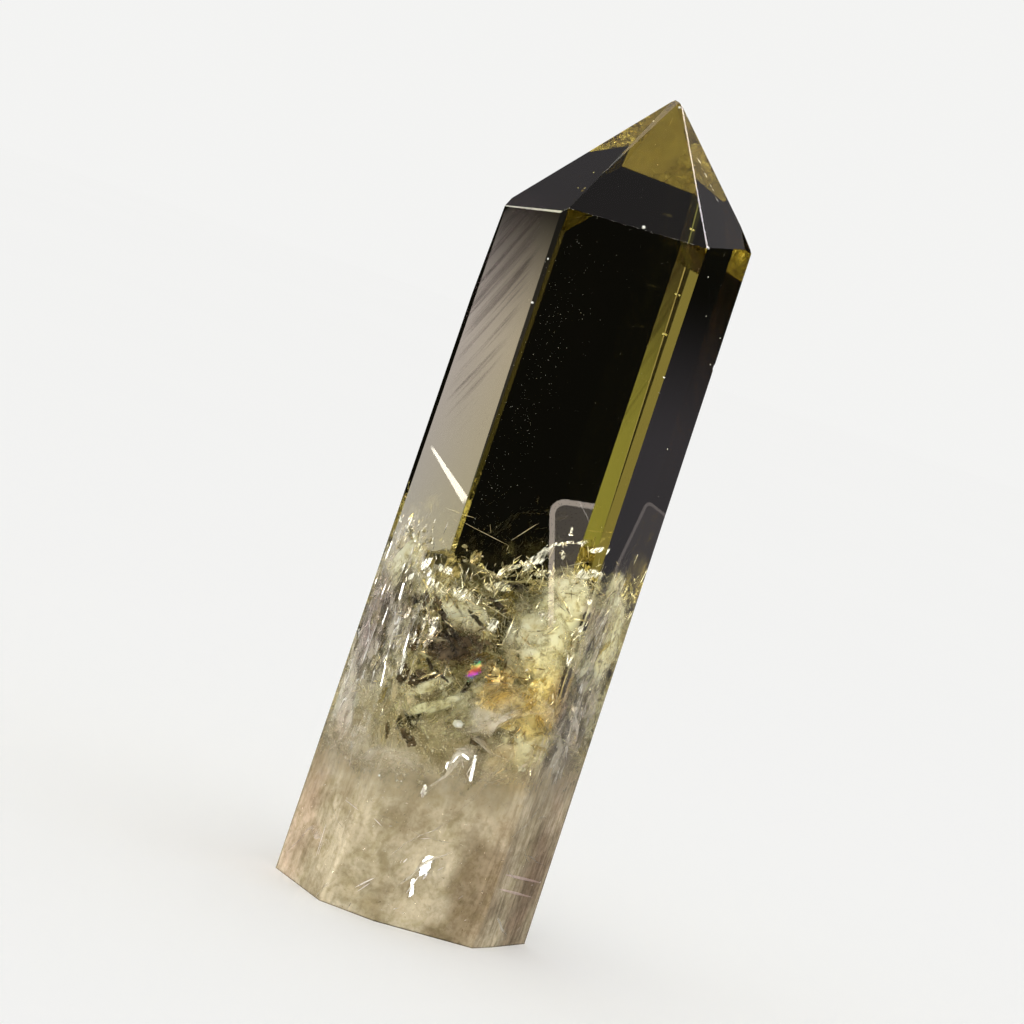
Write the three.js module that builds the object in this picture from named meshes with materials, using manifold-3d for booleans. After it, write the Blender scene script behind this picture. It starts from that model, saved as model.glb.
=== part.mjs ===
// A lemon quartz point: one natural crystal, ground to a six-sided prism with a six-facet point, which stands
// on its flat sawn base. Millimetres, +Z up, origin at the middle of the base, the broad front face towards -Y.
//
// The crystal is made as a lapidary makes it: a rough block is ground flat, one facet at a time. A facet is
// given by the way it faces (azimuth, in degrees from +X towards +Y), by how far it leans back from upright,
// and by how far out it stands.

import * as THREE from 'three';
import { mergeVertices } from 'three/addons/utils/BufferGeometryUtils.js';
import Module from 'manifold-3d';

const wasm = await Module();
wasm.setup();

// ---- Driving dimensions ----

const height = 91.3; // from the base to where the facets of the point would meet
const tip = { x: 0.45, y: 0.55 }; // the point stands a little beside the middle of the base
const rough = { width: 60, height: 120 }; // the block before grinding

// The six faces of the prism. Their reach is measured at the base. They lean in slightly, so the crystal tapers.
const prismFaces = [
  { azimuth: -75.8, lean: 0.4, reach: 10.3 }, // broad front face
  { azimuth: -26.3, lean: 0.5, reach: 11.6 }, // front right
  { azimuth: 45.0, lean: 0.5, reach: 11.45 }, // back right
  { azimuth: 102.0, lean: 0.4, reach: 10.6 }, // broad back face
  { azimuth: 153.5, lean: 0.6, reach: 11.9 }, // back left
  { azimuth: -146.8, lean: 0.15, reach: 12.55 }, // front left
];

// Narrow flats along the prism's edges, measured in the same way.
const edgeFlats = [
  { azimuth: -111.3, lean: 0.73, reach: 14.31 }, // front left edge, dying out half way down
  { azimuth: 160.0, lean: 3.0, reach: 15.43 }, // left edge, only under the shoulder
  { azimuth: -148.8, lean: 19.63, reach: 39.17 }, // the shoulder over the front left face
  { azimuth: -99.8, lean: -7.1, reach: 11.42 }, // foot of the front left edge
  { azimuth: -30.3, lean: -2.8, reach: 11.58 }, // foot of the front right edge
];

// The six facets of the point. Their rise is measured where they cross the upright line through the tip.
const pointFacets = [
  { azimuth: -77.5, lean: 35.3, rise: 0 }, // front
  { azimuth: -32.2, lean: 37.7, rise: 0.34 }, // front right
  { azimuth: 43.0, lean: 39.9, rise: -0.28 }, // back right
  { azimuth: 100.0, lean: 37.5, rise: 0 }, // back
  { azimuth: 150.0, lean: 33.8, rise: 0 }, // back left
  { azimuth: -151.7, lean: 39.05, rise: 0 }, // front left
];

// Narrow flats along the edges of the point, measured in the same way.
const pointFlats = [
  { azimuth: -113.45, lean: 44.4, rise: -0.31 }, // between front left and front, only its upper two thirds
  { azimuth: -55.2, lean: 38.7, rise: 0.125 }, // between front and front right
  { azimuth: -22.2, lean: 35.8, rise: 2.55 }, // right hand corner of the shoulder
  { azimuth: -60.0, lean: 72.0, rise: -0.25 }, // the worn tip
];

// Small chips in the edges, each bitten out by a blunt lump of this radius.
const chips = [
  { x: 13.78, y: 2.1, z: 65.6, radius: 0.62 }, // right edge, two thirds of the way up
  { x: 1.3, y: -10.0, z: 77.15, radius: 0.42 }, // middle of the front shoulder
  { x: 8.7, y: -8.15, z: 77.5, radius: 0.42 }, // front right corner of the shoulder
];

// ---- Grinding ----

// The direction that a facet faces, as a unit vector.
function facing({ azimuth, lean }) {
  const turn = THREE.MathUtils.degToRad(azimuth);
  const tilt = THREE.MathUtils.degToRad(lean);
  return new THREE.Vector3(Math.cos(tilt) * Math.cos(turn), Math.cos(tilt) * Math.sin(turn), Math.sin(tilt));
}

// Grinds a flat square to the outward direction, through the given point.
function grind(solid, outward, through) {
  const inward = outward.clone().negate();
  return solid.trimByPlane(inward.toArray(), inward.dot(through));
}

function grindSide(solid, facet) {
  const outward = facing(facet);
  const foot = new THREE.Vector3(outward.x, outward.y, 0).setLength(facet.reach);
  return grind(solid, outward, foot);
}

function grindPoint(solid, facet) {
  return grind(solid, facing(facet), new THREE.Vector3(tip.x, tip.y, height + facet.rise));
}

// ---- Between three.js geometry and solids ----

function toSolid(geometry) {
  const bare = geometry.clone();
  bare.deleteAttribute('normal');
  bare.deleteAttribute('uv');
  const merged = mergeVertices(bare.index ? bare.toNonIndexed() : bare);
  const vertProperties = new Float32Array(merged.attributes.position.array);
  const triVerts = new Uint32Array(merged.index.array);
  return new wasm.Manifold(new wasm.Mesh({ numProp: 3, vertProperties, triVerts }));
}

function toGeometry(solid) {
  const { vertProperties, triVerts } = solid.getMesh();
  const geometry = new THREE.BufferGeometry();
  geometry.setAttribute('position', new THREE.BufferAttribute(new Float32Array(vertProperties), 3));
  geometry.setIndex(new THREE.BufferAttribute(new Uint32Array(triVerts), 1));
  geometry.computeVertexNormals();
  return geometry;
}

// ---- The crystal ----

function makeCrystal() {
  const block = new THREE.BoxGeometry(rough.width, rough.width, rough.height);
  block.translate(0, 0, rough.height / 2);
  let solid = toSolid(block);
  for (const facet of [...prismFaces, ...edgeFlats]) solid = grindSide(solid, facet);
  for (const facet of [...pointFacets, ...pointFlats]) solid = grindPoint(solid, facet);
  for (const { x, y, z, radius } of chips) {
    const lump = new THREE.IcosahedronGeometry(radius, 1);
    lump.translate(x, y, z);
    solid = solid.subtract(toSolid(lump));
  }
  return toGeometry(solid);
}

const lemonQuartz = new THREE.MeshStandardMaterial({
  color: 0xb9b27c,
  roughness: 0.03,
  metalness: 0,
  transparent: true,
  opacity: 0.5,
  flatShading: true,
});

const crystal = new THREE.Mesh(makeCrystal(), lemonQuartz);
crystal.name = 'quartz_crystal';

const group = new THREE.Group();
group.add(crystal);

export default group;
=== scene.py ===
"""Dresses a polished lemon quartz point: the clear crystal, the flaws grown into it, and a plain studio.

The crystal is clear above and cloudy below. Its lower half holds veils of healed cracks, glinting flakes of
open cracks, fine white grains and needle streaks. Lengths are in metres, +Z is up, and the crystal stands on
z = 0 with its broad front face towards -Y.
"""

import logging
import math
from dataclasses import dataclass
from enum import Enum
from typing import Protocol

import bpy
import numpy as np
from mathutils import Matrix, Vector, noise

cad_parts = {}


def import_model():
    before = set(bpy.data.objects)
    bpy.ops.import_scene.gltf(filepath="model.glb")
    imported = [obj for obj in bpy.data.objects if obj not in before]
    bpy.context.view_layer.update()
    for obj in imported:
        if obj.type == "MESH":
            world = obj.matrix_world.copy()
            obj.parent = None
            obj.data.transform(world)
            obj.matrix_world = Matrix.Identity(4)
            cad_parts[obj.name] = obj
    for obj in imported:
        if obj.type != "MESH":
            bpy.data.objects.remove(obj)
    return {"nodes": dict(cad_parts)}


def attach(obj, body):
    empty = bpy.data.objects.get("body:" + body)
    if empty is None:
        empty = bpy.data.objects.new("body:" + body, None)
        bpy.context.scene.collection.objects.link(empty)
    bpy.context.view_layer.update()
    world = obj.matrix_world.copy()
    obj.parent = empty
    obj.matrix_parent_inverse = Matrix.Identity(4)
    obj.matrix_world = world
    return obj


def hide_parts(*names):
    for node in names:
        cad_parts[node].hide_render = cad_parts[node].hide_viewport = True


log = logging.getLogger("lemon_quartz")

MM = 0.001
NODE = "quartz_crystal"
BODY = "root"
QUARTZ_IOR = 1.544
WHITE = (1.0, 1.0, 1.0)
KEY_LAMP = (-125.0, 36.0)  # where the strongest light stands: azimuth and elevation, in degrees
TINY = 1e-6

Socket = bpy.types.NodeSocket
Piece = bpy.types.Object
Triple = tuple[float, float, float]
Colour = Triple
Waves = tuple[tuple[float, float], ...]  # the height and the cell of each wave, in metres


class Finish(Protocol):
    """What every finish can do."""

    def make(self) -> bpy.types.Material:
        """Builds the material."""


# ---- Small helpers -------------------------------------------------------------------------------


def deselect_all() -> None:
    """Leaves nothing selected."""
    bpy.ops.object.select_all(action="DESELECT")


def activate(piece: Piece) -> None:
    """Selects one object alone and makes it the active one.

    Args:
        piece: the object.
    """
    deselect_all()
    piece.select_set(True)
    bpy.context.view_layer.objects.active = piece


def direction(azimuth: float, elevation: float) -> Vector:
    """Gives a unit vector from its two angles.

    Args:
        azimuth: degrees from +X towards +Y.
        elevation: degrees above the horizon.

    Returns:
        The unit vector.
    """
    turn, tilt = math.radians(azimuth), math.radians(elevation)
    return Vector((math.cos(tilt) * math.cos(turn), math.cos(tilt) * math.sin(turn), math.sin(tilt)))


def cosine(degrees: float) -> float:
    """Gives the cosine of an angle in degrees."""
    return math.cos(math.radians(degrees))


def sine(degrees: float) -> float:
    """Gives the sine of an angle in degrees."""
    return math.sin(math.radians(degrees))


def edit_all() -> None:
    """Takes the active object into edit mode, with all of it selected."""
    bpy.ops.object.mode_set(mode="EDIT")
    bpy.ops.mesh.select_all(action="SELECT")


def leave_edit() -> None:
    """Takes the active object out of edit mode."""
    bpy.ops.object.mode_set(mode="OBJECT")


def mesh_piece(name: str, points: np.ndarray, faces: list[list[int]]) -> Piece:
    """Makes a mesh object at the origin from points and faces.

    Args:
        name: the piece's name.
        points: an array of positions in metres.
        faces: the corner numbers of each face.

    Returns:
        The new object, linked to the scene.
    """
    mesh = bpy.data.meshes.new(name)
    mesh.from_pydata([tuple(point) for point in points], [], faces)
    mesh.update()
    piece = bpy.data.objects.new(name, mesh)
    bpy.context.scene.collection.objects.link(piece)
    return piece


def hand_over(piece: Piece, finish: bpy.types.Material, stone: "Stone | None" = None) -> None:
    """Gives a piece its finish and lets it ride with the crystal.

    Args:
        piece: the finished piece.
        finish: its material.
        stone: the stone whose stains colour the piece, if any do.
    """
    if stone is not None:
        stone.paint(piece)
    piece.data.materials.clear()
    piece.data.materials.append(finish)
    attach(piece, BODY)
    log.info("%s: %d faces", piece.name, len(piece.data.polygons))


# ---- Material building ---------------------------------------------------------------------------


class Recipe:
    """The node tree of a material or a world under construction, with short calls for its nodes."""

    # The colour sockets of the mix node. Its other sockets have the same names.
    MIX_SHARE, MIX_FIRST, MIX_SECOND, MIX_RESULT = 0, 6, 7, 2

    def __init__(self, owner: bpy.types.Material | bpy.types.World) -> None:
        """Empties the tree of a material or a world, and starts it anew.

        Args:
            owner: the material or the world.
        """
        owner.use_nodes = True
        self.owner = owner
        self.tree = owner.node_tree
        self.tree.nodes.clear()
        kind = "World" if isinstance(owner, bpy.types.World) else "Material"
        self.output = self.node("ShaderNodeOutput" + kind)

    @classmethod
    def named(cls, name: str) -> "Recipe":
        """Starts the recipe of a new material."""
        return cls(bpy.data.materials.new(name))

    def node(self, kind: str, values: dict[str | int, object] | None = None,
             **settings: object) -> bpy.types.Node:
        """Adds a node.

        Args:
            kind: the node's type.
            values: sockets or values for its inputs, by their names.
            settings: its properties.

        Returns:
            The node.
        """
        made = self.tree.nodes.new(kind)
        for key, value in settings.items():
            setattr(made, key, value)
        for key, value in (values or {}).items():
            self.feed(made.inputs[key], value)
        return made

    def feed(self, socket: Socket, value: object) -> None:
        """Links a socket to another one, or sets its value.

        Args:
            socket: the input to feed.
            value: an output socket, or a plain value.
        """
        if isinstance(value, Socket):
            self.tree.links.new(value, socket)
        else:
            socket.default_value = value

    def attribute(self, name: str, output: str = "Fac") -> Socket:
        """Reads an attribute of the mesh."""
        return self.node("ShaderNodeAttribute", attribute_name=name).outputs[output]

    def is_ray(self, kind: str) -> Socket:
        """Tells whether the light is followed by such a ray, such as a camera ray."""
        return self.node("ShaderNodeLightPath").outputs[f"Is {kind} Ray"]

    def place(self) -> Socket:
        """Gives the position on the piece, in metres."""
        return self.node("ShaderNodeTexCoord").outputs["Object"]

    def stretched(self, along: Vector, stretch: float) -> Socket:
        """Gives the position with one direction drawn out, so that a pattern on it makes streaks.

        Args:
            along: the direction of the streaks.
            stretch: how many times longer than wide they are.

        Returns:
            The position's socket.
        """
        turn = along.to_track_quat("X", "Z").to_euler()
        values = {"Vector": self.place(), "Rotation": turn, "Scale": (stretch, 1.0, 1.0)}
        return self.node("ShaderNodeMapping", values, vector_type="TEXTURE").outputs["Vector"]

    def cloud(self, cell: float, detail: float = 6.0, rough: float = 0.6, warp: float = 0.0,
              where: Socket | None = None) -> Socket:
        """Gives a fractal noise.

        Args:
            cell: the size of its largest lumps, in metres.
            detail: how many finer octaves it has.
            rough: how strong the finer octaves are.
            warp: how much the pattern is folded.
            where: the position to read, or the plain position.

        Returns:
            The noise, from 0 to 1.
        """
        values = {"Vector": where or self.place(), "Scale": 1.0 / cell, "Detail": detail, "Roughness": rough,
                  "Distortion": warp}
        return self.node("ShaderNodeTexNoise", values).outputs["Fac"]

    def span(self, value: Socket, low: float, high: float,
             start: float = 0.0, end: float = 1.0) -> Socket:
        """Maps a value smoothly from one range to another.

        Args:
            value: the value to map.
            low: where the mapping starts.
            high: where it ends.
            start: the result at the start.
            end: the result at the end.

        Returns:
            The mapped value.
        """
        values = {"Value": value, "From Min": low, "From Max": high, "To Min": start, "To Max": end}
        return self.node("ShaderNodeMapRange", values, interpolation_type="SMOOTHSTEP").outputs["Result"]

    def reckon(self, kind: str, first: object, second: object = 0.0) -> Socket:
        """Does one step of arithmetic.

        Args:
            kind: the step, such as MAXIMUM.
            first: a socket or a number.
            second: a socket or a number, where the step takes two.

        Returns:
            The result.
        """
        return self.node("ShaderNodeMath", {0: first, 1: second}, operation=kind).outputs[0]

    def times(self, first: object, second: object) -> Socket:
        """Multiplies two values."""
        return self.reckon("MULTIPLY", first, second)

    def plus(self, first: object, second: object) -> Socket:
        """Adds two values."""
        return self.reckon("ADD", first, second)

    def minus(self, first: object, second: object) -> Socket:
        """Takes the second value from the first."""
        return self.reckon("SUBTRACT", first, second)

    def weighed(self, first: object, share: float, second: object) -> Socket:
        """Adds a share of the first value and the rest of the second."""
        return self.plus(self.times(first, share), self.times(second, 1.0 - share))

    def vector(self, kind: str, first: object, second: object = (0.0, 0.0, 0.0),
               output: str = "Vector") -> Socket:
        """Does one step of arithmetic on vectors.

        Args:
            kind: the step, such as ADD.
            first: a socket or a vector.
            second: a socket or a vector, where the step takes two.
            output: which output to give, Vector or Value.

        Returns:
            The result.
        """
        return self.node("ShaderNodeVectorMath", {0: first, 1: second}, operation=kind).outputs[output]

    def dot(self, first: Socket, second: Vector) -> Socket:
        """Gives the dot product of a vector socket and a fixed vector."""
        return self.vector("DOT_PRODUCT", first, second, "Value")

    def reach(self, vector: Socket) -> Socket:
        """Gives the length of a vector's level part."""
        return self.vector("LENGTH", self.vector("MULTIPLY", vector, (1.0, 1.0, 0.0)), output="Value")

    def scaled(self, vector: object, factor: Socket) -> Socket:
        """Makes a vector or a colour so many times stronger."""
        values = {0: vector, "Scale": factor}
        return self.node("ShaderNodeVectorMath", values, operation="SCALE").outputs["Vector"]

    def part(self, vector: Socket, axis: str) -> Socket:
        """Gives one part of a vector, such as Z."""
        return self.node("ShaderNodeSeparateXYZ", {0: vector}).outputs[axis]

    def below(self, top: float, fade: float, slope: float, swell: float,
              pattern: Socket) -> Socket:
        """Tells which part of the stone lies below a wavy level that rises to the right.

        Args:
            top: where the level crosses the axis, in metres.
            fade: how deep the change is, in metres.
            slope: how steeply the level rises.
            swell: how high its waves are, in metres.
            pattern: the pattern of the waves, from 0 to 1.

        Returns:
            1 below the level, and 0 above it.
        """
        where = self.place()
        tilted = self.minus(self.part(where, "Z"), self.times(self.part(where, "X"), slope))
        wavy = self.plus(tilted, self.times(self.minus(pattern, 0.5), swell))
        return self.span(wavy, top - fade, top, 1.0, 0.0)

    def ramp(self, value: Socket, stops: list[tuple[float, Colour]]) -> Socket:
        """Turns a value into a colour.

        Args:
            value: the value to colour.
            stops: places from 0 to 1 and their colours.

        Returns:
            The colour.
        """
        made = self.node("ShaderNodeValToRGB", {"Fac": value})
        elements = made.color_ramp.elements
        while len(elements) < len(stops):
            elements.new(0.5)
        for element, (position, colour) in zip(elements, stops):
            element.position = position
            element.color = (*colour, 1.0)
        return made.outputs["Color"]

    def blend(self, kind: str, first: object, second: object, share: object = 1.0) -> Socket:
        """Blends two colours.

        Args:
            kind: the way to blend, such as MULTIPLY.
            first: a colour socket or a colour.
            second: a colour socket or a colour.
            share: how much of the blend shows.

        Returns:
            The blended colour.
        """
        values = {self.MIX_SHARE: share, self.MIX_FIRST: first, self.MIX_SECOND: second}
        return self.node("ShaderNodeMix", values, data_type="RGBA", blend_type=kind).outputs[self.MIX_RESULT]

    def stained(self, tone: Socket) -> Socket:
        """Gives a colour as the stains of the stone change it."""
        return self.blend("MULTIPLY", tone, self.attribute("stain", "Color"))

    def principled(self, **values: object) -> bpy.types.Material:
        """Adds the surface shader, which finishes a material.

        Args:
            values: sockets or values, by input name with _ for a space.

        Returns:
            The finished material.
        """
        named = {key.replace("_", " "): value for key, value in values.items()}
        shader = self.node("ShaderNodeBsdfPrincipled", named)
        self.feed(self.output.inputs["Surface"], shader.outputs["BSDF"])
        return self.owner

    def relief(self, height: Socket, distance: float, strength: float) -> Socket:
        """Gives a normal that a height pattern disturbs.

        Args:
            height: the height pattern, from 0 to 1.
            distance: the height of a full step, in metres.
            strength: how much of it shows.

        Returns:
            The normal.
        """
        values = {"Height": height, "Distance": distance, "Strength": strength}
        return self.node("ShaderNodeBump", values).outputs["Normal"]


# ---- The studio ----------------------------------------------------------------------------------


@dataclass
class Panel:
    """A round soft light far away, seen only in the crystal and by what lies inside it."""

    azimuth: float
    elevation: float
    reach: float
    soft: float
    light: float
    tint: Colour = WHITE


@dataclass
class Card:
    """A far bright card with straight sides and round corners, shown only where a polished face mirrors it.

    A side or a cut is the direction square to it, towards the card, as azimuth and elevation. Sides have the
    bright rim and the round corners between them, and cuts have neither. Widths are in degrees.
    """

    middle: tuple[float, float]
    reach: float
    sides: tuple[tuple[float, float], ...]
    cuts: tuple[tuple[float, float], ...]
    light: float
    tint: Colour
    corner: float = 0.32
    rim: float = 0.10
    fill: float = 0.20
    blur: float = 0.025


class Sky(Recipe):
    """The light of the air under construction: its tree, the direction looked in and the light so far."""

    def __init__(self, world: bpy.types.World, dusk: Colour) -> None:
        """Starts the air with its faintest light.

        Args:
            world: the world that holds it.
            dusk: the colour of the faintest light.
        """
        super().__init__(world)
        self.where = self.node("ShaderNodeTexCoord").outputs["Generated"]
        self.light = self.node("ShaderNodeRGB").outputs[0]
        self.light.default_value = (*dusk, 1.0)

    def toward(self, azimuth: float, elevation: float) -> Socket:
        """Gives the cosine of the angle between the direction looked in and another one."""
        return self.dot(self.where, direction(azimuth, elevation))

    def add(self, share: Socket, strength: float, tint: object) -> None:
        """Adds a tinted light, whose shape is a share from 0 to 1."""
        self.light = self.vector("ADD", self.light, self.scaled(tint, self.times(share, strength)))


@dataclass
class Studio:
    """A pale floor, pale air, soft lights and the camera."""

    look_at: Triple = (-2.18 * MM, -9.85 * MM, 45.0 * MM)
    distance: float = 331.0 * MM
    rise: float = 4.5
    lean: float = 18.6
    lens: float = 112.5
    sensor: float = 36.0
    pale: Colour = (0.90, 0.90, 0.89)
    dusk: Colour = (0.0035, 0.0035, 0.0032)
    floor_radius: float = 3.0
    floor_corners: int = 96
    nearest: float = 1.0 * MM
    glow: float = 0.50
    glow_azimuth: float = 38.0
    glow_sides: tuple[float, float] = (36.0, 12.0)
    glow_rim: tuple[float, float] = (-2.4, 0.8)
    glow_foot: tuple[float, float] = (-36.0, -18.0)
    glow_near: float = 0.06
    glow_heights: tuple[float, float] = (-0.30, -0.02)
    mirrored_glow: float = 0.45
    soft_low: float = 0.7
    soft_high: float = 3.0
    soft_tint: Colour = (1.0, 0.975, 0.92)
    card_margin: float = 1.3

    def build(self) -> None:
        """Makes the whole studio."""
        self.add_camera()
        self.add_world()
        self.add_floor()
        self.allow_depth()

    def add_camera(self) -> None:
        """Adds the camera, leaning as the crystal seems to lean."""
        rise, lean = math.radians(self.rise), math.radians(self.lean)
        ahead = Vector((0.0, math.cos(rise), -math.sin(rise)))
        side = Vector((1.0, 0.0, 0.0))
        above = side.cross(ahead)
        right = side * math.cos(lean) + above * math.sin(lean)
        top = above * math.cos(lean) - side * math.sin(lean)
        place = Matrix((right, top, -ahead)).transposed().to_4x4()
        place.translation = Vector(self.look_at) - ahead * self.distance
        data = bpy.data.cameras.new("camera")
        data.lens = self.lens
        data.sensor_width = self.sensor
        data.clip_start = self.nearest
        camera = bpy.data.objects.new("camera", data)
        camera.matrix_world = place
        bpy.context.scene.collection.objects.link(camera)
        bpy.context.scene.camera = camera

    def panels(self) -> list[Panel]:
        """Lists the soft lights around the crystal.

        Returns:
            The lights: azimuth, elevation, reach, softness, light and tint.
        """
        return [
            Panel(153.0, 66.5, 13.0, 6.0, 1.5, (1.0, 0.90, 0.97)),
            Panel(145.0, 19.0, 4.0, 3.0, 3.0, (1.0, 0.86, 0.84)),
            Panel(21.5, 53.0, 5.0, 3.0, 10.0, (1.0, 0.92, 0.98)),
            Panel(*KEY_LAMP, 10.0, 4.0, 28.0, (1.0, 0.99, 0.96)),
            Panel(*KEY_LAMP, 26.0, 10.0, 1.6, (1.0, 0.97, 0.90)),
            Panel(-172.0, 28.0, 14.0, 5.0, 6.0, (1.0, 0.97, 0.92)),
            Panel(-8.0, 22.0, 12.0, 5.0, 8.0, (1.0, 0.80, 0.82)),
            Panel(-30.0, -86.0, 12.0, 5.0, 1.1, (1.0, 1.0, 1.1)),
            Panel(-82.0, -7.0, 4.0, 5.0, 0.24, (1.0, 0.92, 0.50)),
            Panel(-60.0, 30.0, 15.0, 7.0, 8.0, (1.0, 0.96, 0.86)),
            Panel(-40.0, 68.5, 8.0, 6.0, 0.25, (1.0, 0.93, 1.0)),
            Panel(122.5, 27.5, 8.0, 6.0, 0.18, (1.0, 0.93, 1.0)),
            Panel(68.0, -10.0, 3.0, 4.0, 0.22, (1.0, 1.12, 0.6)),
            Panel(51.5, 30.0, 6.0, 5.0, 0.30, (1.0, 0.94, 0.98)),
        ]

    def cards(self) -> list[Card]:
        """Lists the cards that the polished faces mirror.

        Returns:
            The cards.
        """
        edge = (-150.24, 0.0)
        return [
            Card((-60.57, -4.14), 1.15, sides=((27.9, 17.55), (47.23, -79.77)), cuts=(edge,),
                 light=6.5, tint=(1.0, 0.86, 0.72)),
            Card((-60.29, -3.40), 0.30, sides=(), cuts=((26.231, 45.418), (-153.724, -45.421), edge),
                 light=3.2, tint=(1.0, 0.90, 0.80), fill=1.0, blur=0.012),
            Card((39.68, -4.1), 1.15, sides=((129.98, -7.67), (-58.51, -69.01), (126.87, 28.77)), cuts=(),
                 light=0.6, tint=(1.0, 0.86, 0.78), corner=0.14, rim=0.05, fill=0.24),
            Card((155.13, -4.06), 0.48, sides=(), cuts=((59.76, -53.31), (-119.56, 48.51)),
                 light=9.0, tint=(1.0, 0.96, 0.82), fill=1.0, blur=0.02),
        ]

    def add_world(self) -> None:
        """Adds the air: pale to the eye, dusky for all other light, with the soft lights in it."""
        world = bpy.data.worlds.new("studio_air")
        bpy.context.scene.world = world
        sky = Sky(world, self.dusk)
        for panel in self.panels():
            nearness = sky.toward(panel.azimuth, panel.elevation)
            inside = sky.span(nearness, cosine(panel.reach + panel.soft), cosine(panel.reach))
            sky.add(inside, panel.light, panel.tint)
        self.add_glow(sky)
        for card in self.cards():
            self.add_card(sky, card)
        self.add_soft(sky)
        open_air = sky.reckon("MAXIMUM", sky.is_ray("Camera"), sky.is_ray("Diffuse"))
        shown = sky.blend("MIX", sky.light, (*self.pale, 1.0), open_air)
        back = sky.node("ShaderNodeBackground", {"Color": shown})
        sky.feed(sky.output.inputs["Surface"], back.outputs["Background"])
        world.cycles.sampling_method = "NONE"

    def add_soft(self, sky: Sky) -> None:
        """Gives scattered light an even soft air in place of the lights, a little brighter from the left.

        Args:
            sky: the light of the air.
        """
        level = sky.span(sky.toward(*KEY_LAMP), -1.0, 1.0, self.soft_low, self.soft_high)
        scattered = sky.node("ShaderNodeLightPath").outputs["Diffuse Depth"]
        air = sky.scaled(self.soft_tint, level)
        sky.light = sky.blend("MIX", sky.light, air, sky.reckon("MINIMUM", scattered, 1.0))

    def add_glow(self, sky: Sky) -> None:
        """Adds the glow of a pale table top that lies behind the crystal on its right.

        Args:
            sky: the light of the air.
        """
        height = sky.part(sky.where, "Z")
        toward = sky.reckon("DIVIDE", sky.toward(self.glow_azimuth, 0.0), sky.reach(sky.where))
        side = sky.span(toward, *(cosine(angle) for angle in self.glow_sides))
        below = sky.span(height, *(sine(angle) for angle in self.glow_rim), 1.0, 0.0)
        near = sky.span(height, *(sine(angle) for angle in self.glow_foot), self.glow_near, 1.0)
        share = sky.times(side, sky.times(below, near))
        through = sky.span(sky.is_ray("Transmission"), 0.0, 1.0, self.mirrored_glow, 1.0)
        tone = sky.ramp(sky.span(height, *self.glow_heights), [
            (0.0, (0.86, 1.0, 0.92)), (0.6, (0.94, 0.96, 0.97)), (1.0, (1.0, 0.90, 1.0))])
        sky.add(sky.times(share, through), self.glow, tone)

    def add_card(self, sky: Sky, card: Card) -> None:
        """Adds a far card to the light, shown only where a polished face mirrors it.

        Args:
            sky: the light of the air.
            card: the card.
        """
        corner, rim, blur = (math.radians(value) for value in (card.corner, card.rim, card.blur))
        far = 0.0
        for side in card.sides:
            short = sky.reckon("MAXIMUM", sky.minus(corner, sky.toward(*side)), 0.0)
            far = sky.plus(far, sky.times(short, short))
        far = sky.reckon("SQRT", far)
        share = sky.times(sky.span(far, corner - blur, corner, 1.0, 0.0),
                          sky.span(far, corner - rim - blur, corner - rim, card.fill, 1.0))
        for cut in card.cuts:
            share = sky.times(share, sky.span(sky.toward(*cut), 0.0, blur))
        near = sky.span(sky.toward(*card.middle), cosine(card.reach * self.card_margin), cosine(card.reach))
        mirrored = sky.span(sky.is_ray("Transmission"), 0.0, 1.0, 1.0, 0.0)
        sky.add(sky.times(share, sky.times(near, mirrored)), card.light, card.tint)

    def add_floor(self) -> None:
        """Adds the pale floor, which the crystal neither mirrors nor bends."""
        bpy.ops.mesh.primitive_circle_add(vertices=self.floor_corners, radius=self.floor_radius,
                                          fill_type="NGON")
        floor = bpy.context.object
        floor.name = "floor"
        recipe = Recipe.named("pale_floor")
        tone = recipe.ramp(recipe.cloud(0.25, detail=3.0), [(0.0, (0.985, 0.985, 0.985)), (1.0, WHITE)])
        floor.data.materials.append(recipe.principled(Base_Color=tone, Roughness=0.9, Specular_IOR_Level=0.0))
        floor.visible_transmission = False
        floor.visible_glossy = False

    def allow_depth(self) -> None:
        """Lets light go through as many facets and flaws as lie behind each other."""
        cycles = bpy.context.scene.cycles
        cycles.max_bounces = 16
        cycles.transmission_bounces = 16
        cycles.glossy_bounces = 8
        cycles.diffuse_bounces = 3
        cycles.transparent_max_bounces = 32
        bpy.context.scene.view_settings.view_transform = "Standard"


# ---- The crystal ---------------------------------------------------------------------------------


@dataclass(frozen=True)
class ClearQuartz:
    """Clear lemon quartz: colourless glass at the surface, yellow through its depth."""

    ior: float = QUARTZ_IOR
    depth_colour: Colour = (0.94, 0.83, 0.08)
    depth_density: float = 26.0

    def make(self) -> bpy.types.Material:
        """Builds the material.

        Returns:
            The material.
        """
        recipe = Recipe.named("clear_lemon_quartz")
        values = {"Color": (*self.depth_colour, 1.0), "Density": self.depth_density}
        depth = recipe.node("ShaderNodeVolumeAbsorption", values)
        recipe.feed(recipe.output.inputs["Volume"], depth.outputs["Volume"])
        return recipe.principled(Base_Color=(*WHITE, 1.0), Roughness=0.0, IOR=self.ior,
                                 Transmission_Weight=1.0)


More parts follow.
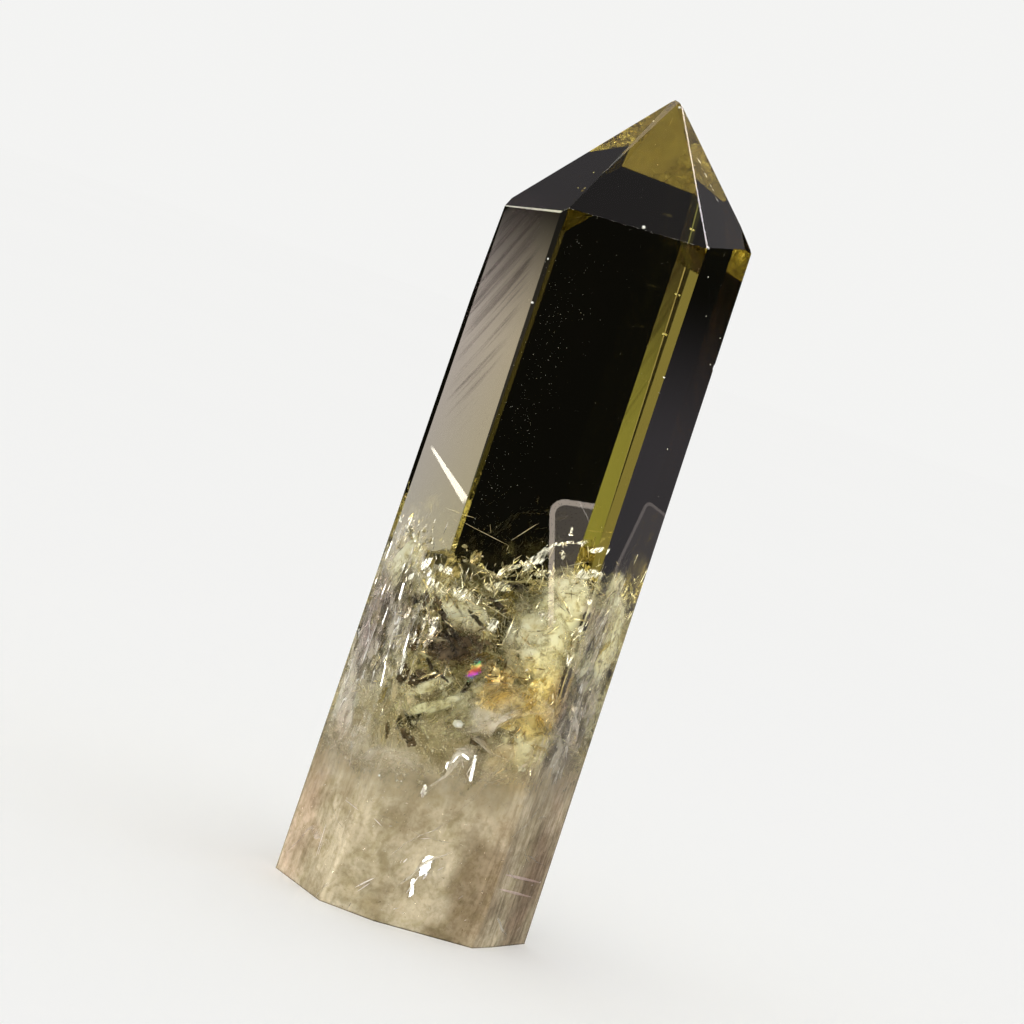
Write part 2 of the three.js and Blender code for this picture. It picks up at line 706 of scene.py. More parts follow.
@dataclass
class Crystal:
    """The ground and polished body of the point, taken from its exact solid."""

    edge_round: float = 0.03 * MM
    merge_within: float = 0.001 * MM
    flat_within: float = 0.05
    sharp_beyond: float = 4.0

    def build(self, node: Piece) -> Piece:
        """Makes the dressed crystal.

        Args:
            node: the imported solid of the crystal.

        Returns:
            The piece that stands for it.
        """
        deselect_all()
        piece = bpy.data.objects.new("crystal_body", node.data.copy())
        bpy.context.scene.collection.objects.link(piece)
        activate(piece)
        edit_all()
        bpy.ops.mesh.remove_doubles(threshold=self.merge_within)
        bpy.ops.mesh.dissolve_limited(angle_limit=math.radians(self.flat_within))
        leave_edit()
        if piece.data.has_custom_normals:
            bpy.ops.mesh.customdata_custom_splitnormals_clear()
        bpy.ops.object.shade_flat()
        soften = piece.modifiers.new("edges", "BEVEL")
        soften.width = self.edge_round
        soften.segments = 2
        soften.limit_method = "ANGLE"
        soften.angle_limit = math.radians(self.sharp_beyond)
        soften.harden_normals = False
        bpy.ops.object.modifier_apply(modifier=soften.name)
        hand_over(piece, ClearQuartz().make())
        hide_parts(NODE)
        return piece


# ---- The space inside the stone ------------------------------------------------------------------


class SideFace(Enum):
    """The two faces beside the broad front face, by their azimuth and how far they lean back, in degrees."""

    LEFT = (-146.8, 0.15)
    RIGHT = (-26.3, 0.5)


class Stain(Enum):
    """The ways in which a part of the stone colours its flaws, each as a share of their own light."""

    SOOT = (0.10, 0.085, 0.06)
    BROWN = (0.34, 0.24, 0.14)
    OLIVE = (0.62, 0.60, 0.40)
    CREAM = (1.40, 1.36, 1.10)
    GOLD = (1.22, 1.07, 0.66)
    VIOLET = (0.62, 0.55, 0.60)
    ROSE = (1.04, 0.96, 0.99)


@dataclass(frozen=True)
class Zone:
    """A stained part of the stone: where it shows on the front, its half sizes, strength and depth."""

    stain: Stain
    across: float
    up: float
    wide: float
    high: float
    strength: float = 1.0
    deep: float = 2.5


@dataclass
class Stone:
    """The inside of the crystal: tells how deep a place lies, and which place is seen through a facet."""

    normals: np.ndarray
    reaches: np.ndarray
    eye: np.ndarray
    look_at: np.ndarray
    zones: tuple[Zone, ...] = ()
    ragged: float = 0.45
    ragged_cell: float = 2.2 * MM
    rim: float = 1.35
    least_cosine: float = 0.1

    @classmethod
    def within(cls, crystal: Piece, studio: Studio) -> "Stone":
        """Reads the ground facets of the crystal.

        Args:
            crystal: the dressed crystal.
            studio: the studio, for its camera.

        Returns:
            The space inside.
        """
        smallest = 2.0 * MM * MM
        facets = [face for face in crystal.data.polygons if face.area > smallest]
        normals = np.array([face.normal for face in facets])
        reaches = np.array([face.normal.dot(face.center) for face in facets])
        eye = bpy.context.scene.camera.matrix_world.translation
        return cls(normals, reaches, np.array(eye), np.array(studio.look_at), ZONES)

    def stain_at(self, points: np.ndarray) -> np.ndarray:
        """Gives the colour by which the stains change the flaws.

        Args:
            points: the places of the flaws.

        Returns:
            One colour for each point.
        """
        colour = np.ones((len(points), 3))
        shift = Vector((4.7, 9.1, 2.3))
        swirl = np.array([noise.noise(Vector(point) / self.ragged_cell + shift) for point in points])
        for zone in self.zones:
            offset = points - self.seen(zone.across, zone.up, zone.deep)
            offset /= np.array([zone.wide, zone.wide, zone.high]) * MM
            far = np.linalg.norm(offset, axis=1) + swirl * self.ragged
            share = np.clip(self.rim - far, 0.0, 1.0)
            share = (share * share * (3.0 - 2.0 * share) * zone.strength)[:, None]
            colour *= 1.0 - share + share * np.array(zone.stain.value)
        return colour

    def paint(self, piece: Piece) -> None:
        """Writes the stains on a piece, in its attribute "stain".

        Args:
            piece: the piece.
        """
        points = np.zeros(len(piece.data.vertices) * 3)
        piece.data.vertices.foreach_get("co", points)
        colour = self.stain_at(points.reshape(-1, 3))
        stain = piece.data.attributes.new("stain", "FLOAT_COLOR", "POINT")
        stain.data.foreach_set("color", np.column_stack([colour, np.ones(len(colour))]).ravel())

    def depth(self, points: np.ndarray) -> np.ndarray:
        """Gives how far each point lies inside the nearest facet."""
        return (self.reaches[None, :] - points @ self.normals.T).min(axis=1)

    def facet(self, face: SideFace) -> int:
        """Finds the number of a side face among the facets."""
        return int((self.normals @ np.array(direction(*face.value))).argmax())

    def tucked(self, points: np.ndarray, margin: float = 0.02 * MM) -> np.ndarray:
        """Moves a small shape as a whole, until none of its points sticks out of the stone.

        Args:
            points: the points of the shape.
            margin: how far inside each facet it has to lie.

        Returns:
            The moved points.
        """
        for _ in self.normals:
            over = (points @ self.normals.T - self.reaches).max(axis=0) + margin
            facet = int(over.argmax())
            if over[facet] <= 0.0:
                break
            points = points - self.normals[facet] * over[facet]
        return points

    def sight(self, across: float, up: float) -> tuple[np.ndarray, np.ndarray]:
        """Follows a sight line from the camera into the stone.

        Args:
            across: how far right of the axis it meets the front of the stone, in millimetres.
            up: how high it meets it, in millimetres.

        Returns:
            The place where it enters, and its direction inside.
        """
        ahead = self.look_at - self.eye
        ahead /= np.linalg.norm(ahead)
        side = np.array([1.0, 0.0, 0.0])
        above = np.cross(side, ahead)
        aim = self.look_at + side * (across * MM - self.look_at[0]) + above * (up * MM - self.look_at[2])
        ray = aim - self.eye
        ray /= np.linalg.norm(ray)
        slope = self.normals @ ray
        gap = self.reaches - self.normals @ self.eye
        facing = slope < 0.0
        entry = np.where(facing, gap / np.where(facing, slope, -1.0), -np.inf)
        facet = int(entry.argmax())
        normal, cosine = self.normals[facet], -slope[facet]
        ratio = 1.0 / QUARTZ_IOR
        bent = math.sqrt(1.0 - ratio * ratio * (1.0 - cosine * cosine))
        inward = ratio * ray + (ratio * cosine - bent) * normal
        return self.eye + ray * entry[facet], inward

    def seen(self, across: float, up: float, deep: float) -> np.ndarray:
        """Finds the place inside that is seen at a place on the front, so deep along the sight."""
        entry, inward = self.sight(across, up)
        return entry + inward * deep * MM

    def toward(self, place: np.ndarray, lamp: Vector) -> np.ndarray:
        """Finds the way in which a place inside sees a lamp, through the facet that lets the most of it in.

        Args:
            place: the place.
            lamp: the direction of the lamp.

        Returns:
            The direction inside the stone.
        """
        light = np.array(lamp)
        gap = self.reaches - self.normals @ place
        ways = []
        for facet, normal in enumerate(self.normals):
            cosine = float(normal @ light)
            level = (light - normal * cosine) / QUARTZ_IOR
            bent = level + normal * math.sqrt(1.0 - level @ level)
            slope = self.normals @ bent
            run = np.where(slope > TINY, gap / np.maximum(slope, TINY), np.inf)
            meets = int(run.argmin()) == facet
            ways.append((meets and cosine > self.least_cosine, cosine, facet, bent))
        return max(ways, key=lambda way: way[:3])[3]

    def glint(self, across: float, up: float, deep: float, lamp: Vector) -> Vector:
        """Finds how a mirror inside must face to show a lamp.

        Args:
            across: how far right of the axis the mirror is seen, in millimetres.
            up: how high it is seen, in millimetres.
            deep: how deep along the sight it lies, in millimetres.
            lamp: the direction of the lamp.

        Returns:
            The direction that the mirror faces.
        """
        entry, inward = self.sight(across, up)
        return Vector(self.toward(entry + inward * deep * MM, lamp) - inward).normalized()


# ---- Modelling helpers ---------------------------------------------------------------------------


@dataclass
class Form:
    """A small modelled shape that is repeated: its points and its faces."""

    points: np.ndarray
    faces: list[list[int]]

    @classmethod
    def taken_from(cls, piece: Piece) -> "Form":
        """Reads a modelled object and removes it.

        Args:
            piece: the object.

        Returns:
            Its form.
        """
        points = np.array([vertex.co for vertex in piece.data.vertices])
        faces = [list(face.vertices) for face in piece.data.polygons]
        bpy.data.objects.remove(piece)
        return cls(points, faces)


def flake_form(corners: int, bulge: float, seed: int, thick: float = 0.03) -> Form:
    """Models one thin flake of a crack: a ragged plate, raised a little in its middle.

    Args:
        corners: how many corners its outline has.
        bulge: how far its middle stands out, as a share of its width.
        seed: the seed of its outline.
        thick: its thickness, as a share of its width.

    Returns:
        The flake, about one unit wide, lying flat.
    """
    deselect_all()
    bpy.ops.mesh.primitive_circle_add(vertices=corners, radius=0.5, fill_type="NGON")
    piece = bpy.context.object
    draw = np.random.default_rng(seed)
    for vertex in piece.data.vertices:
        vertex.co *= float(draw.uniform(0.55, 1.15))
    edit_all()
    bpy.ops.mesh.extrude_region_move(TRANSFORM_OT_translate={"value": (0.0, 0.0, thick)})
    bpy.ops.mesh.select_all(action="SELECT")
    bpy.ops.mesh.normals_make_consistent(inside=False)
    leave_edit()
    for face in piece.data.polygons:
        face.select = len(face.vertices) > 4 and face.normal.z > 0.5
    bpy.ops.object.mode_set(mode="EDIT")
    bpy.ops.mesh.poke(offset=bulge)
    leave_edit()
    return Form.taken_from(piece)


def grain_form() -> Form:
    """Models one grain: a small ball of twenty faces."""
    deselect_all()
    bpy.ops.mesh.primitive_ico_sphere_add(subdivisions=1, radius=0.5)
    return Form.taken_from(bpy.context.object)


def crumb_form() -> Form:
    """Models one crumb: a four-sided lump with a belt between two blunt points, twelve faces in all."""
    deselect_all()
    bpy.ops.mesh.primitive_uv_sphere_add(segments=4, ring_count=3, radius=0.5)
    return Form.taken_from(bpy.context.object)


def needle_form() -> Form:
    """Models one needle: a five-sided rod, pointed at both ends.

    Returns:
        The needle, one unit long along X.
    """
    deselect_all()
    bpy.ops.mesh.primitive_cylinder_add(vertices=5, radius=0.5, depth=1.0, rotation=(0.0, math.pi / 2.0, 0.0))
    piece = bpy.context.object
    bpy.ops.object.transform_apply(location=False, rotation=True, scale=False)
    bpy.ops.object.mode_set(mode="EDIT")
    for cut in (-0.3, 0.0, 0.3):
        bpy.ops.mesh.select_all(action="SELECT")
        bpy.ops.mesh.bisect(plane_co=(cut, 0.0, 0.0), plane_no=(1.0, 0.0, 0.0))
    leave_edit()
    for vertex in piece.data.vertices:
        slim = 1.0 - (abs(vertex.co.x) / 0.5) ** 2 * 0.9
        vertex.co.y *= slim
        vertex.co.z *= slim
    return Form.taken_from(piece)


def scatter(name: str, stone: Stone, forms: list[Form], places: np.ndarray, frames: np.ndarray,
            sizes: np.ndarray, draw: np.random.Generator) -> Piece:
    """Joins many copies of a few forms in one mesh, all of them inside the stone.

    Args:
        name: the piece's name.
        stone: the stone that they lie in.
        forms: the forms to choose from.
        places: the centre of each copy.
        frames: the three axes of each copy, as columns.
        sizes: the three sizes of each copy.
        draw: the source of chance that chooses the forms.

    Returns:
        The joined piece.
    """
    points, faces, start = [], [], 0
    chosen = draw.integers(0, len(forms), len(places))
    for place, axes, size, pick in zip(places, frames, sizes, chosen):
        form = forms[pick]
        points.append(stone.tucked((form.points * size) @ axes.T + place))
        faces.extend([[corner + start for corner in face] for face in form.faces])
        start += len(form.points)
    return mesh_piece(name, np.concatenate(points), faces)


def frames_facing(normals: np.ndarray, turns: np.ndarray) -> np.ndarray:
    """Gives axes whose third one follows each normal, turned about it.

    Args:
        normals: the unit normals.
        turns: the turn about each normal, in radians.

    Returns:
        One 3 by 3 matrix for each normal, with the axes as columns.
    """
    helper = np.where(np.abs(normals[:, 2:3]) < 0.9, [[0.0, 0.0, 1.0]], [[1.0, 0.0, 0.0]])
    first = np.cross(helper, normals)
    first /= np.linalg.norm(first, axis=1, keepdims=True)
    second = np.cross(normals, first)
    cos, sin = np.cos(turns)[:, None], np.sin(turns)[:, None]
    return np.stack([first * cos + second * sin, second * cos - first * sin, normals], axis=2)


def some_directions(count: int, draw: np.random.Generator) -> np.ndarray:
    """Draws directions evenly over the sphere."""
    made = draw.normal(size=(count, 3))
    return made / np.linalg.norm(made, axis=1, keepdims=True)


def join(pieces: list[Piece], name: str) -> Piece:
    """Joins pieces in one.

    Args:
        pieces: the pieces.
        name: the name of the joined piece.

    Returns:
        The joined piece.
    """
    deselect_all()
    for piece in pieces:
        piece.select_set(True)
    bpy.context.view_layer.objects.active = pieces[0]
    bpy.ops.object.join()
    joined = bpy.context.object
    joined.name = name
    joined.data.name = name
    return joined


# ---- Sheets: veils and cracks --------------------------------------------------------------------


@dataclass
class Sheet:
    """One crack in the stone: a waving sheet with a ragged rim, which ends a little inside the walls.

    Its mesh carries the attribute "cover", which falls from 1 in the middle to 0 at the rim.
    """

    centre: np.ndarray
    facing: Vector
    width: float
    height: float
    waves: Waves
    seed: int
    turn: float = 0.0
    cells: int = 30
    film: float = 0.03 * MM
    margin: float = 0.25 * MM
    smooth: bool = True

    def build(self, stone: Stone) -> Piece | None:
        """Makes the sheet.

        Args:
            stone: the stone that the sheet lies in.

        Returns:
            The trimmed sheet as a thin closed film, or None where nothing of it lies in the stone.
        """
        deselect_all()
        bpy.ops.mesh.primitive_grid_add(x_subdivisions=self.cells, y_subdivisions=self.cells, size=2.0)
        sheet = bpy.context.object
        cover = sheet.data.attributes.new("cover", "FLOAT", "POINT")
        shift = Vector((7.3 * self.seed, 1.9 * self.seed, 3.1))
        axes = self.facing.to_track_quat("Z", "Y").to_matrix()
        axes = axes @ Matrix.Rotation(math.radians(self.turn), 3, "Z")
        for vertex in sheet.data.vertices:
            cover.data[vertex.index].value = max(0.0, 1.0 - vertex.co.length)
            flat = Vector((vertex.co.x * self.width / 2.0, vertex.co.y * self.height / 2.0, 0.0))
            for size, cell in self.waves:
                flat.z += size * noise.noise(Vector((flat.x, flat.y, 0.0)) / cell + shift)
            vertex.co = axes @ flat + Vector(self.centre)
        self.trim(stone)
        if len(sheet.data.polygons) == 0:
            bpy.data.objects.remove(sheet)
            return None
        thicken = sheet.modifiers.new("film", "SOLIDIFY")
        thicken.thickness = self.film
        bpy.ops.object.modifier_apply(modifier=thicken.name)
        if self.smooth:
            bpy.ops.object.shade_smooth()
        return sheet

    def trim(self, stone: Stone) -> None:
        """Cuts the active sheet back to a little inside each facet of the stone.

        Args:
            stone: the stone.
        """
        bpy.ops.object.mode_set(mode="EDIT")
        for normal, reach in zip(stone.normals, stone.reaches):
            bpy.ops.mesh.select_all(action="SELECT")
            bpy.ops.mesh.bisect(plane_co=normal * (reach - self.margin), plane_no=normal, clear_outer=True,
                                threshold=0.001 * MM)
        leave_edit()


def sheets_piece(sheets: list[Sheet], name: str, stone: Stone) -> Piece:
    """Builds sheets and joins them in one named piece."""
    made = [sheet.build(stone) for sheet in sheets]
    return join([piece for piece in made if piece is not None], name)


@dataclass(frozen=True)
class Haze:
    """The milky film of a healed crack: fine droplets, dense in clouds and thin between them."""

    name: str = "milky_haze"
    light: Colour = (0.99, 0.95, 0.87)
    dark: Colour = (0.86, 0.77, 0.62)
    cloud_cell: float = 5.0 * MM
    fleck_cell: float = 1.5 * MM
    thin: float = 0.34
    thick: float = 0.58
    cover: float = 0.75
    top: float = 29.0 * MM
    fade: float = 8.0 * MM
    swell: float = 10.0 * MM
    slope: float = 0.25

    def make(self) -> bpy.types.Material:
        """Builds the material.

        Returns:
            The material.
        """
        recipe = Recipe.named(self.name)
        cloud = recipe.cloud(self.cloud_cell, 4.0, 0.6, 0.5)
        fleck = recipe.cloud(self.fleck_cell, 4.0, 0.65, 0.4)
        blend = recipe.weighed(cloud, 0.5, fleck)
        dense = recipe.span(blend, self.thin, self.thick, 0.0, self.cover)
        level = recipe.below(self.top, self.fade, self.slope, self.swell, cloud)
        rim = recipe.attribute("cover")
        soft = recipe.span(rim, 0.0, 0.45)
        alpha = recipe.times(recipe.times(dense, level), soft)
        tone = recipe.ramp(fleck, [(0.36, self.dark), (0.60, self.light)])
        normal = recipe.relief(fleck, self.fleck_cell * 0.15, 0.5)
        return recipe.principled(Base_Color=recipe.stained(tone), Roughness=0.7, Specular_IOR_Level=0.3,
                                 Alpha=alpha, Normal=normal)


@dataclass(frozen=True)
class EvenHaze:
    """An even pale film with hardly any grain, which thins out towards the facets."""

    name: str = "even_haze"
    light: Colour = (0.215, 0.205, 0.155)
    dark: Colour = (0.195, 0.18, 0.135)
    cell: float = 6.0 * MM
    middle: Triple = (0.0, 1.5 * MM, 0.0)
    reach: tuple[float, float] = (8.8 * MM, 11.2 * MM)
    ragged: float = 2.5 * MM
    ragged_cell: float = 1.0 * MM

    def make(self) -> bpy.types.Material:
        """Builds the material.

        Returns:
            The material.
        """
        recipe = Recipe.named(self.name)
        cloud = recipe.cloud(self.cell, 3.0)
        tone = recipe.ramp(cloud, [(0.4, self.dark), (0.6, self.light)])
        rough = recipe.span(cloud, 0.3, 0.7, 0.8, 0.95)
        length = recipe.reach(recipe.vector("SUBTRACT", recipe.place(), self.middle))
        ragged = recipe.plus(length, recipe.times(recipe.cloud(self.ragged_cell), self.ragged))
        alpha = recipe.span(ragged, *self.reach, 1.0, 0.0)
        return recipe.principled(Base_Color=tone, Roughness=rough, Specular_IOR_Level=0.1, Alpha=alpha)


@dataclass(frozen=True)
class CrackMirror:
    """The gleaming inner face of an open crack, broken into patches and feathers."""

    name: str
    light: Colour
    deep: Colour
    rough: float = 0.25
    metal: float = 0.75
    patch_cell: float = 2.6 * MM
    feather_cell: float = 0.5 * MM
    thin: float = 0.48
    thick: float = 0.56
    cover: float = 0.95
    grain: Vector = Vector((0.35, 0.15, 1.0))
    stretch: float = 3.5
    crumple: float = 0.04 * MM

    def make(self) -> bpy.types.Material:
        """Builds the material.

        Returns:
            The material.
        """
        recipe = Recipe.named(self.name)
        patch = recipe.cloud(self.patch_cell, 5.0, 0.7, 0.8)
        feather = recipe.cloud(self.feather_cell, 4.0, 0.6, 0.5, recipe.stretched(self.grain, self.stretch))
        blend = recipe.weighed(patch, 0.55, feather)
        rim = recipe.attribute("cover")
        ragged = recipe.plus(blend, recipe.span(rim, 0.0, 0.5, -0.16, 0.0))
        alpha = recipe.span(ragged, self.thin, self.thick, 0.0, self.cover)
        tone = recipe.ramp(feather, [(0.40, self.deep), (0.58, self.light)])
        rough = recipe.span(patch, 0.35, 0.65, self.rough * 0.6, self.rough * 1.5)
        normal = recipe.relief(feather, self.crumple, 0.7)
        return recipe.principled(Base_Color=recipe.stained(tone), Roughness=rough, Metallic=self.metal,
                                 Normal=normal, Alpha=alpha)


@dataclass(frozen=True)
class WholeMirror(CrackMirror):
    """The gleaming face of a flake or a splinter, with no gaps in it."""

    thin: float = -0.3
    thick: float = -0.2


@dataclass(frozen=True)
class Smoke:
    """Thin smoky growth bands, seen as parallel streaks against the light."""

    name: str = "smoky_bands"
    tone: Colour = (0.03, 0.015, 0.02)
    pale: Colour = (0.06, 0.04, 0.05)
    along: Vector = Vector((0.345, -0.528, 0.776))
    stretch: float = 30.0
    cell: float = 1.0 * MM
    cover: float = 0.25

    def make(self) -> bpy.types.Material:
        """Builds the material.

        Returns:
            The material.
        """
        recipe = Recipe.named(self.name)
        band = recipe.cloud(self.cell, 3.0, 0.62, 0.0, recipe.stretched(self.along, self.stretch))
        rim = recipe.attribute("cover")
        alpha = recipe.times(recipe.span(band, 0.45, 0.68, 0.0, self.cover), recipe.span(rim, 0.0, 0.45))
        tone = recipe.ramp(band, [(0.4, self.pale), (0.75, self.tone)])
        return recipe.principled(Base_Color=tone, Roughness=0.6, Specular_IOR_Level=0.1, Alpha=alpha)


@dataclass(frozen=True)
class Streaks:
    """Broken veils with fibres and fine bright lines that run up the stone."""

    name: str
    tone: Colour = (0.24, 0.18, 0.14)
    pale: Colour = (0.93, 0.88, 0.78)
    line: Colour = (0.95, 0.97, 1.0)
    along: Vector = Vector((0.10, 0.06, 1.0))
    patch_cell: float = 3.2 * MM
    cell: float = 1.0 * MM
    cover: float = 0.5
    fine: float = 0.012

    def make(self) -> bpy.types.Material:
        """Builds the material.

        Returns:
            The material.
        """
        recipe = Recipe.named(self.name)
        patch = recipe.cloud(self.patch_cell, 5.0, 0.62, 0.6, recipe.stretched(self.along, 1.6))
        fibre = recipe.cloud(self.cell, 3.0, 0.55, 0.6, recipe.stretched(self.along, 2.6))
        wander = recipe.cloud(self.cell * 2.0, 3.0, 0.5, 0.4, recipe.stretched(self.along, 5.0))
        rim = recipe.attribute("cover")
        both = recipe.weighed(patch, 0.6, fibre)
        body = recipe.span(both, 0.46, 0.60, 0.0, self.cover)
        off = recipe.reckon("ABSOLUTE", recipe.minus(wander, 0.5))
        line = recipe.times(recipe.span(off, 0.0, self.fine, 1.0, 0.0), recipe.span(patch, 0.46, 0.54))
        alpha = recipe.times(recipe.reckon("MAXIMUM", body, line), recipe.span(rim, 0.0, 0.35))
        tone = recipe.ramp(fibre, [(0.38, self.tone), (0.52, self.pale), (0.70, self.pale)])
        tone = recipe.blend("MIX", recipe.stained(tone), (*self.line, 1.0), line)
        rough = recipe.span(fibre, 0.3, 0.7, 0.4, 0.6)
        return recipe.principled(Base_Color=tone, Roughness=rough, Specular_IOR_Level=0.3, Alpha=alpha)


@dataclass(frozen=True)
class DarkFilm:
    """A brown stain on a crack, or violet painted shade behind a side face, with light gaps where it is thin.
    """

    name: str
    tone: Colour
    pale: Colour
    cell: float = 0.9 * MM
    cover: float = 0.85

    def make(self) -> bpy.types.Material:
        """Builds the material.

        Returns:
            The material.
        """
        recipe = Recipe.named(self.name)
        patch = recipe.cloud(self.cell, 5.0, 0.65, 0.7)
        rim = recipe.attribute("cover")
        ragged = recipe.plus(patch, recipe.span(rim, 0.0, 0.5, -0.2, 0.04))
        alpha = recipe.span(ragged, 0.40, 0.52, 0.0, self.cover)
        tone = recipe.ramp(patch, [(0.42, self.tone), (0.66, self.pale)])
        return recipe.principled(Base_Color=tone, Roughness=0.45, Specular_IOR_Level=0.4, Alpha=alpha)


@dataclass(frozen=True)
class Rainbow:
    """The interference colours of a very thin crack."""

    name: str = "rainbow_film"
    along: Vector = Vector((0.55, 0.1, -1.0))
    band: float = 1.7 * MM
    wave: float = 1.0 * MM

    def make(self) -> bpy.types.Material:
        """Builds the material.

        Returns:
            The material.
        """
        recipe = Recipe.named(self.name)
        run = recipe.dot(recipe.place(), self.along.normalized())
        wavy = recipe.plus(run, recipe.times(recipe.cloud(0.8 * MM, 3.0), self.wave))
        turn = recipe.reckon("FRACT", recipe.reckon("DIVIDE", wavy, self.band))
        tone = recipe.ramp(turn, [
            (0.0, (0.9, 0.7, 0.2)), (0.22, (0.85, 0.15, 0.12)), (0.42, (0.65, 0.08, 0.75)),
            (0.6, (0.12, 0.2, 0.85)), (0.78, (0.1, 0.65, 0.3)), (1.0, (0.9, 0.7, 0.2))])
        rim = recipe.attribute("cover")
        patch = recipe.cloud(0.4 * MM, 5.0, 0.65, 0.6)
        ragged = recipe.plus(rim, recipe.span(patch, 0.35, 0.65, -0.4, 0.1))
        alpha = recipe.span(ragged, 0.0, 0.4, 0.0, 0.75)
        return recipe.principled(Base_Color=tone, Roughness=0.35, Metallic=0.35, Alpha=alpha)


@dataclass(frozen=True)
class Frost:
    """A dull pale grain or chip that scatters the light."""

    name: str
    tone: Colour = (0.96, 0.95, 0.92)
    shade: Colour = (0.70, 0.66, 0.58)

    def make(self) -> bpy.types.Material:
        """Builds the material.

        Returns:
            The material.
        """
        recipe = Recipe.named(self.name)
        tone = recipe.ramp(recipe.cloud(0.6 * MM, 3.0), [(0.35, self.shade), (0.6, self.tone)])
        rough = recipe.span(recipe.cloud(0.2 * MM, 2.0), 0.3, 0.7, 0.35, 0.7)
        return recipe.principled(Base_Color=recipe.stained(tone), Roughness=rough)


@dataclass(frozen=True)
class Milk:
    """Dense milky quartz: pale and cloudy, with soft grey and amber patches, breaking up towards its top."""

    name: str = "milky_core"
    deep: Colour = (0.42, 0.36, 0.25)
    middle: Colour = (0.53, 0.47, 0.345)
    light: Colour = (0.63, 0.57, 0.44)
    cell: float = 5.0 * MM
    grain: float = 0.6 * MM
    fibre: float = 0.5 * MM
    thin: float = 0.85
    top: float = 21.0 * MM
    fade: float = 9.0 * MM
    swell: float = 14.0 * MM
    slope: float = 0.2

    def make(self) -> bpy.types.Material:
        """Builds the material.

        Returns:
            The material.
        """
        recipe = Recipe.named(self.name)
        cloud = recipe.cloud(self.cell, 4.0, 0.5, 0.4)
        grain = recipe.cloud(self.grain, 4.0, 0.6, 0.3)
        upright = recipe.stretched(Vector((0.04, 0.02, 1.0)), 9.0)
        fibre = recipe.cloud(self.fibre, 4.0, 0.6, 0.2, upright)
        tone = recipe.ramp(cloud, [(0.34, self.deep), (0.48, self.middle), (0.62, self.light)])
        speck = recipe.ramp(grain, [(0.36, (0.90, 0.88, 0.83)), (0.50, WHITE), (0.64, (1.06, 1.07, 1.08))])
        streak = recipe.ramp(fibre, [
            (0.34, (0.52, 0.45, 0.38)), (0.50, (0.95, 0.92, 0.90)), (0.66, (1.25, 1.22, 1.24))])
        side = recipe.attribute("side")
        broad = recipe.cloud(2.0 * MM, 5.0, 0.60, 0.9, recipe.stretched(Vector((0.45, 0.05, 1.0)), 1.6))
        shade = recipe.ramp(broad, [
            (0.34, (0.82, 0.80, 0.69)), (0.50, (1.0, 0.99, 0.96)), (0.66, (1.13, 1.12, 1.10))])
        pit = recipe.ramp(recipe.cloud(0.35 * MM, 2.0, 0.5), [(0.24, (0.55, 0.50, 0.40)), (0.29, WHITE)])
        tone = recipe.blend("MULTIPLY", recipe.blend("MULTIPLY", tone, speck),
                            recipe.blend("MULTIPLY", shade, pit))
        tone = recipe.blend("MULTIPLY", tone, streak, side)
        normal = recipe.relief(grain, 0.05 * MM, 0.4)
        return recipe.principled(Base_Color=recipe.stained(tone), Roughness=0.75, Specular_IOR_Level=0.2,
                                 Normal=normal, Alpha=self.density(recipe, grain))

    def density(self, recipe: Recipe, grain: Socket) -> Socket:
        """Gives how dense the milk is: patchy, and gone above its top.

        Args:
            recipe: the material's node tree.
            grain: the pattern of its grains.

        Returns:
            The density, from 0 to 1.
        """
        patch = recipe.cloud(self.cell * 0.6, 5.0, 0.6, 0.4)
        both = recipe.weighed(patch, 0.6, grain)
        level = recipe.below(self.top, self.fade, self.slope, self.swell, both)
        return recipe.times(level, recipe.span(both, 0.40, 0.56, self.thin, 1.0))


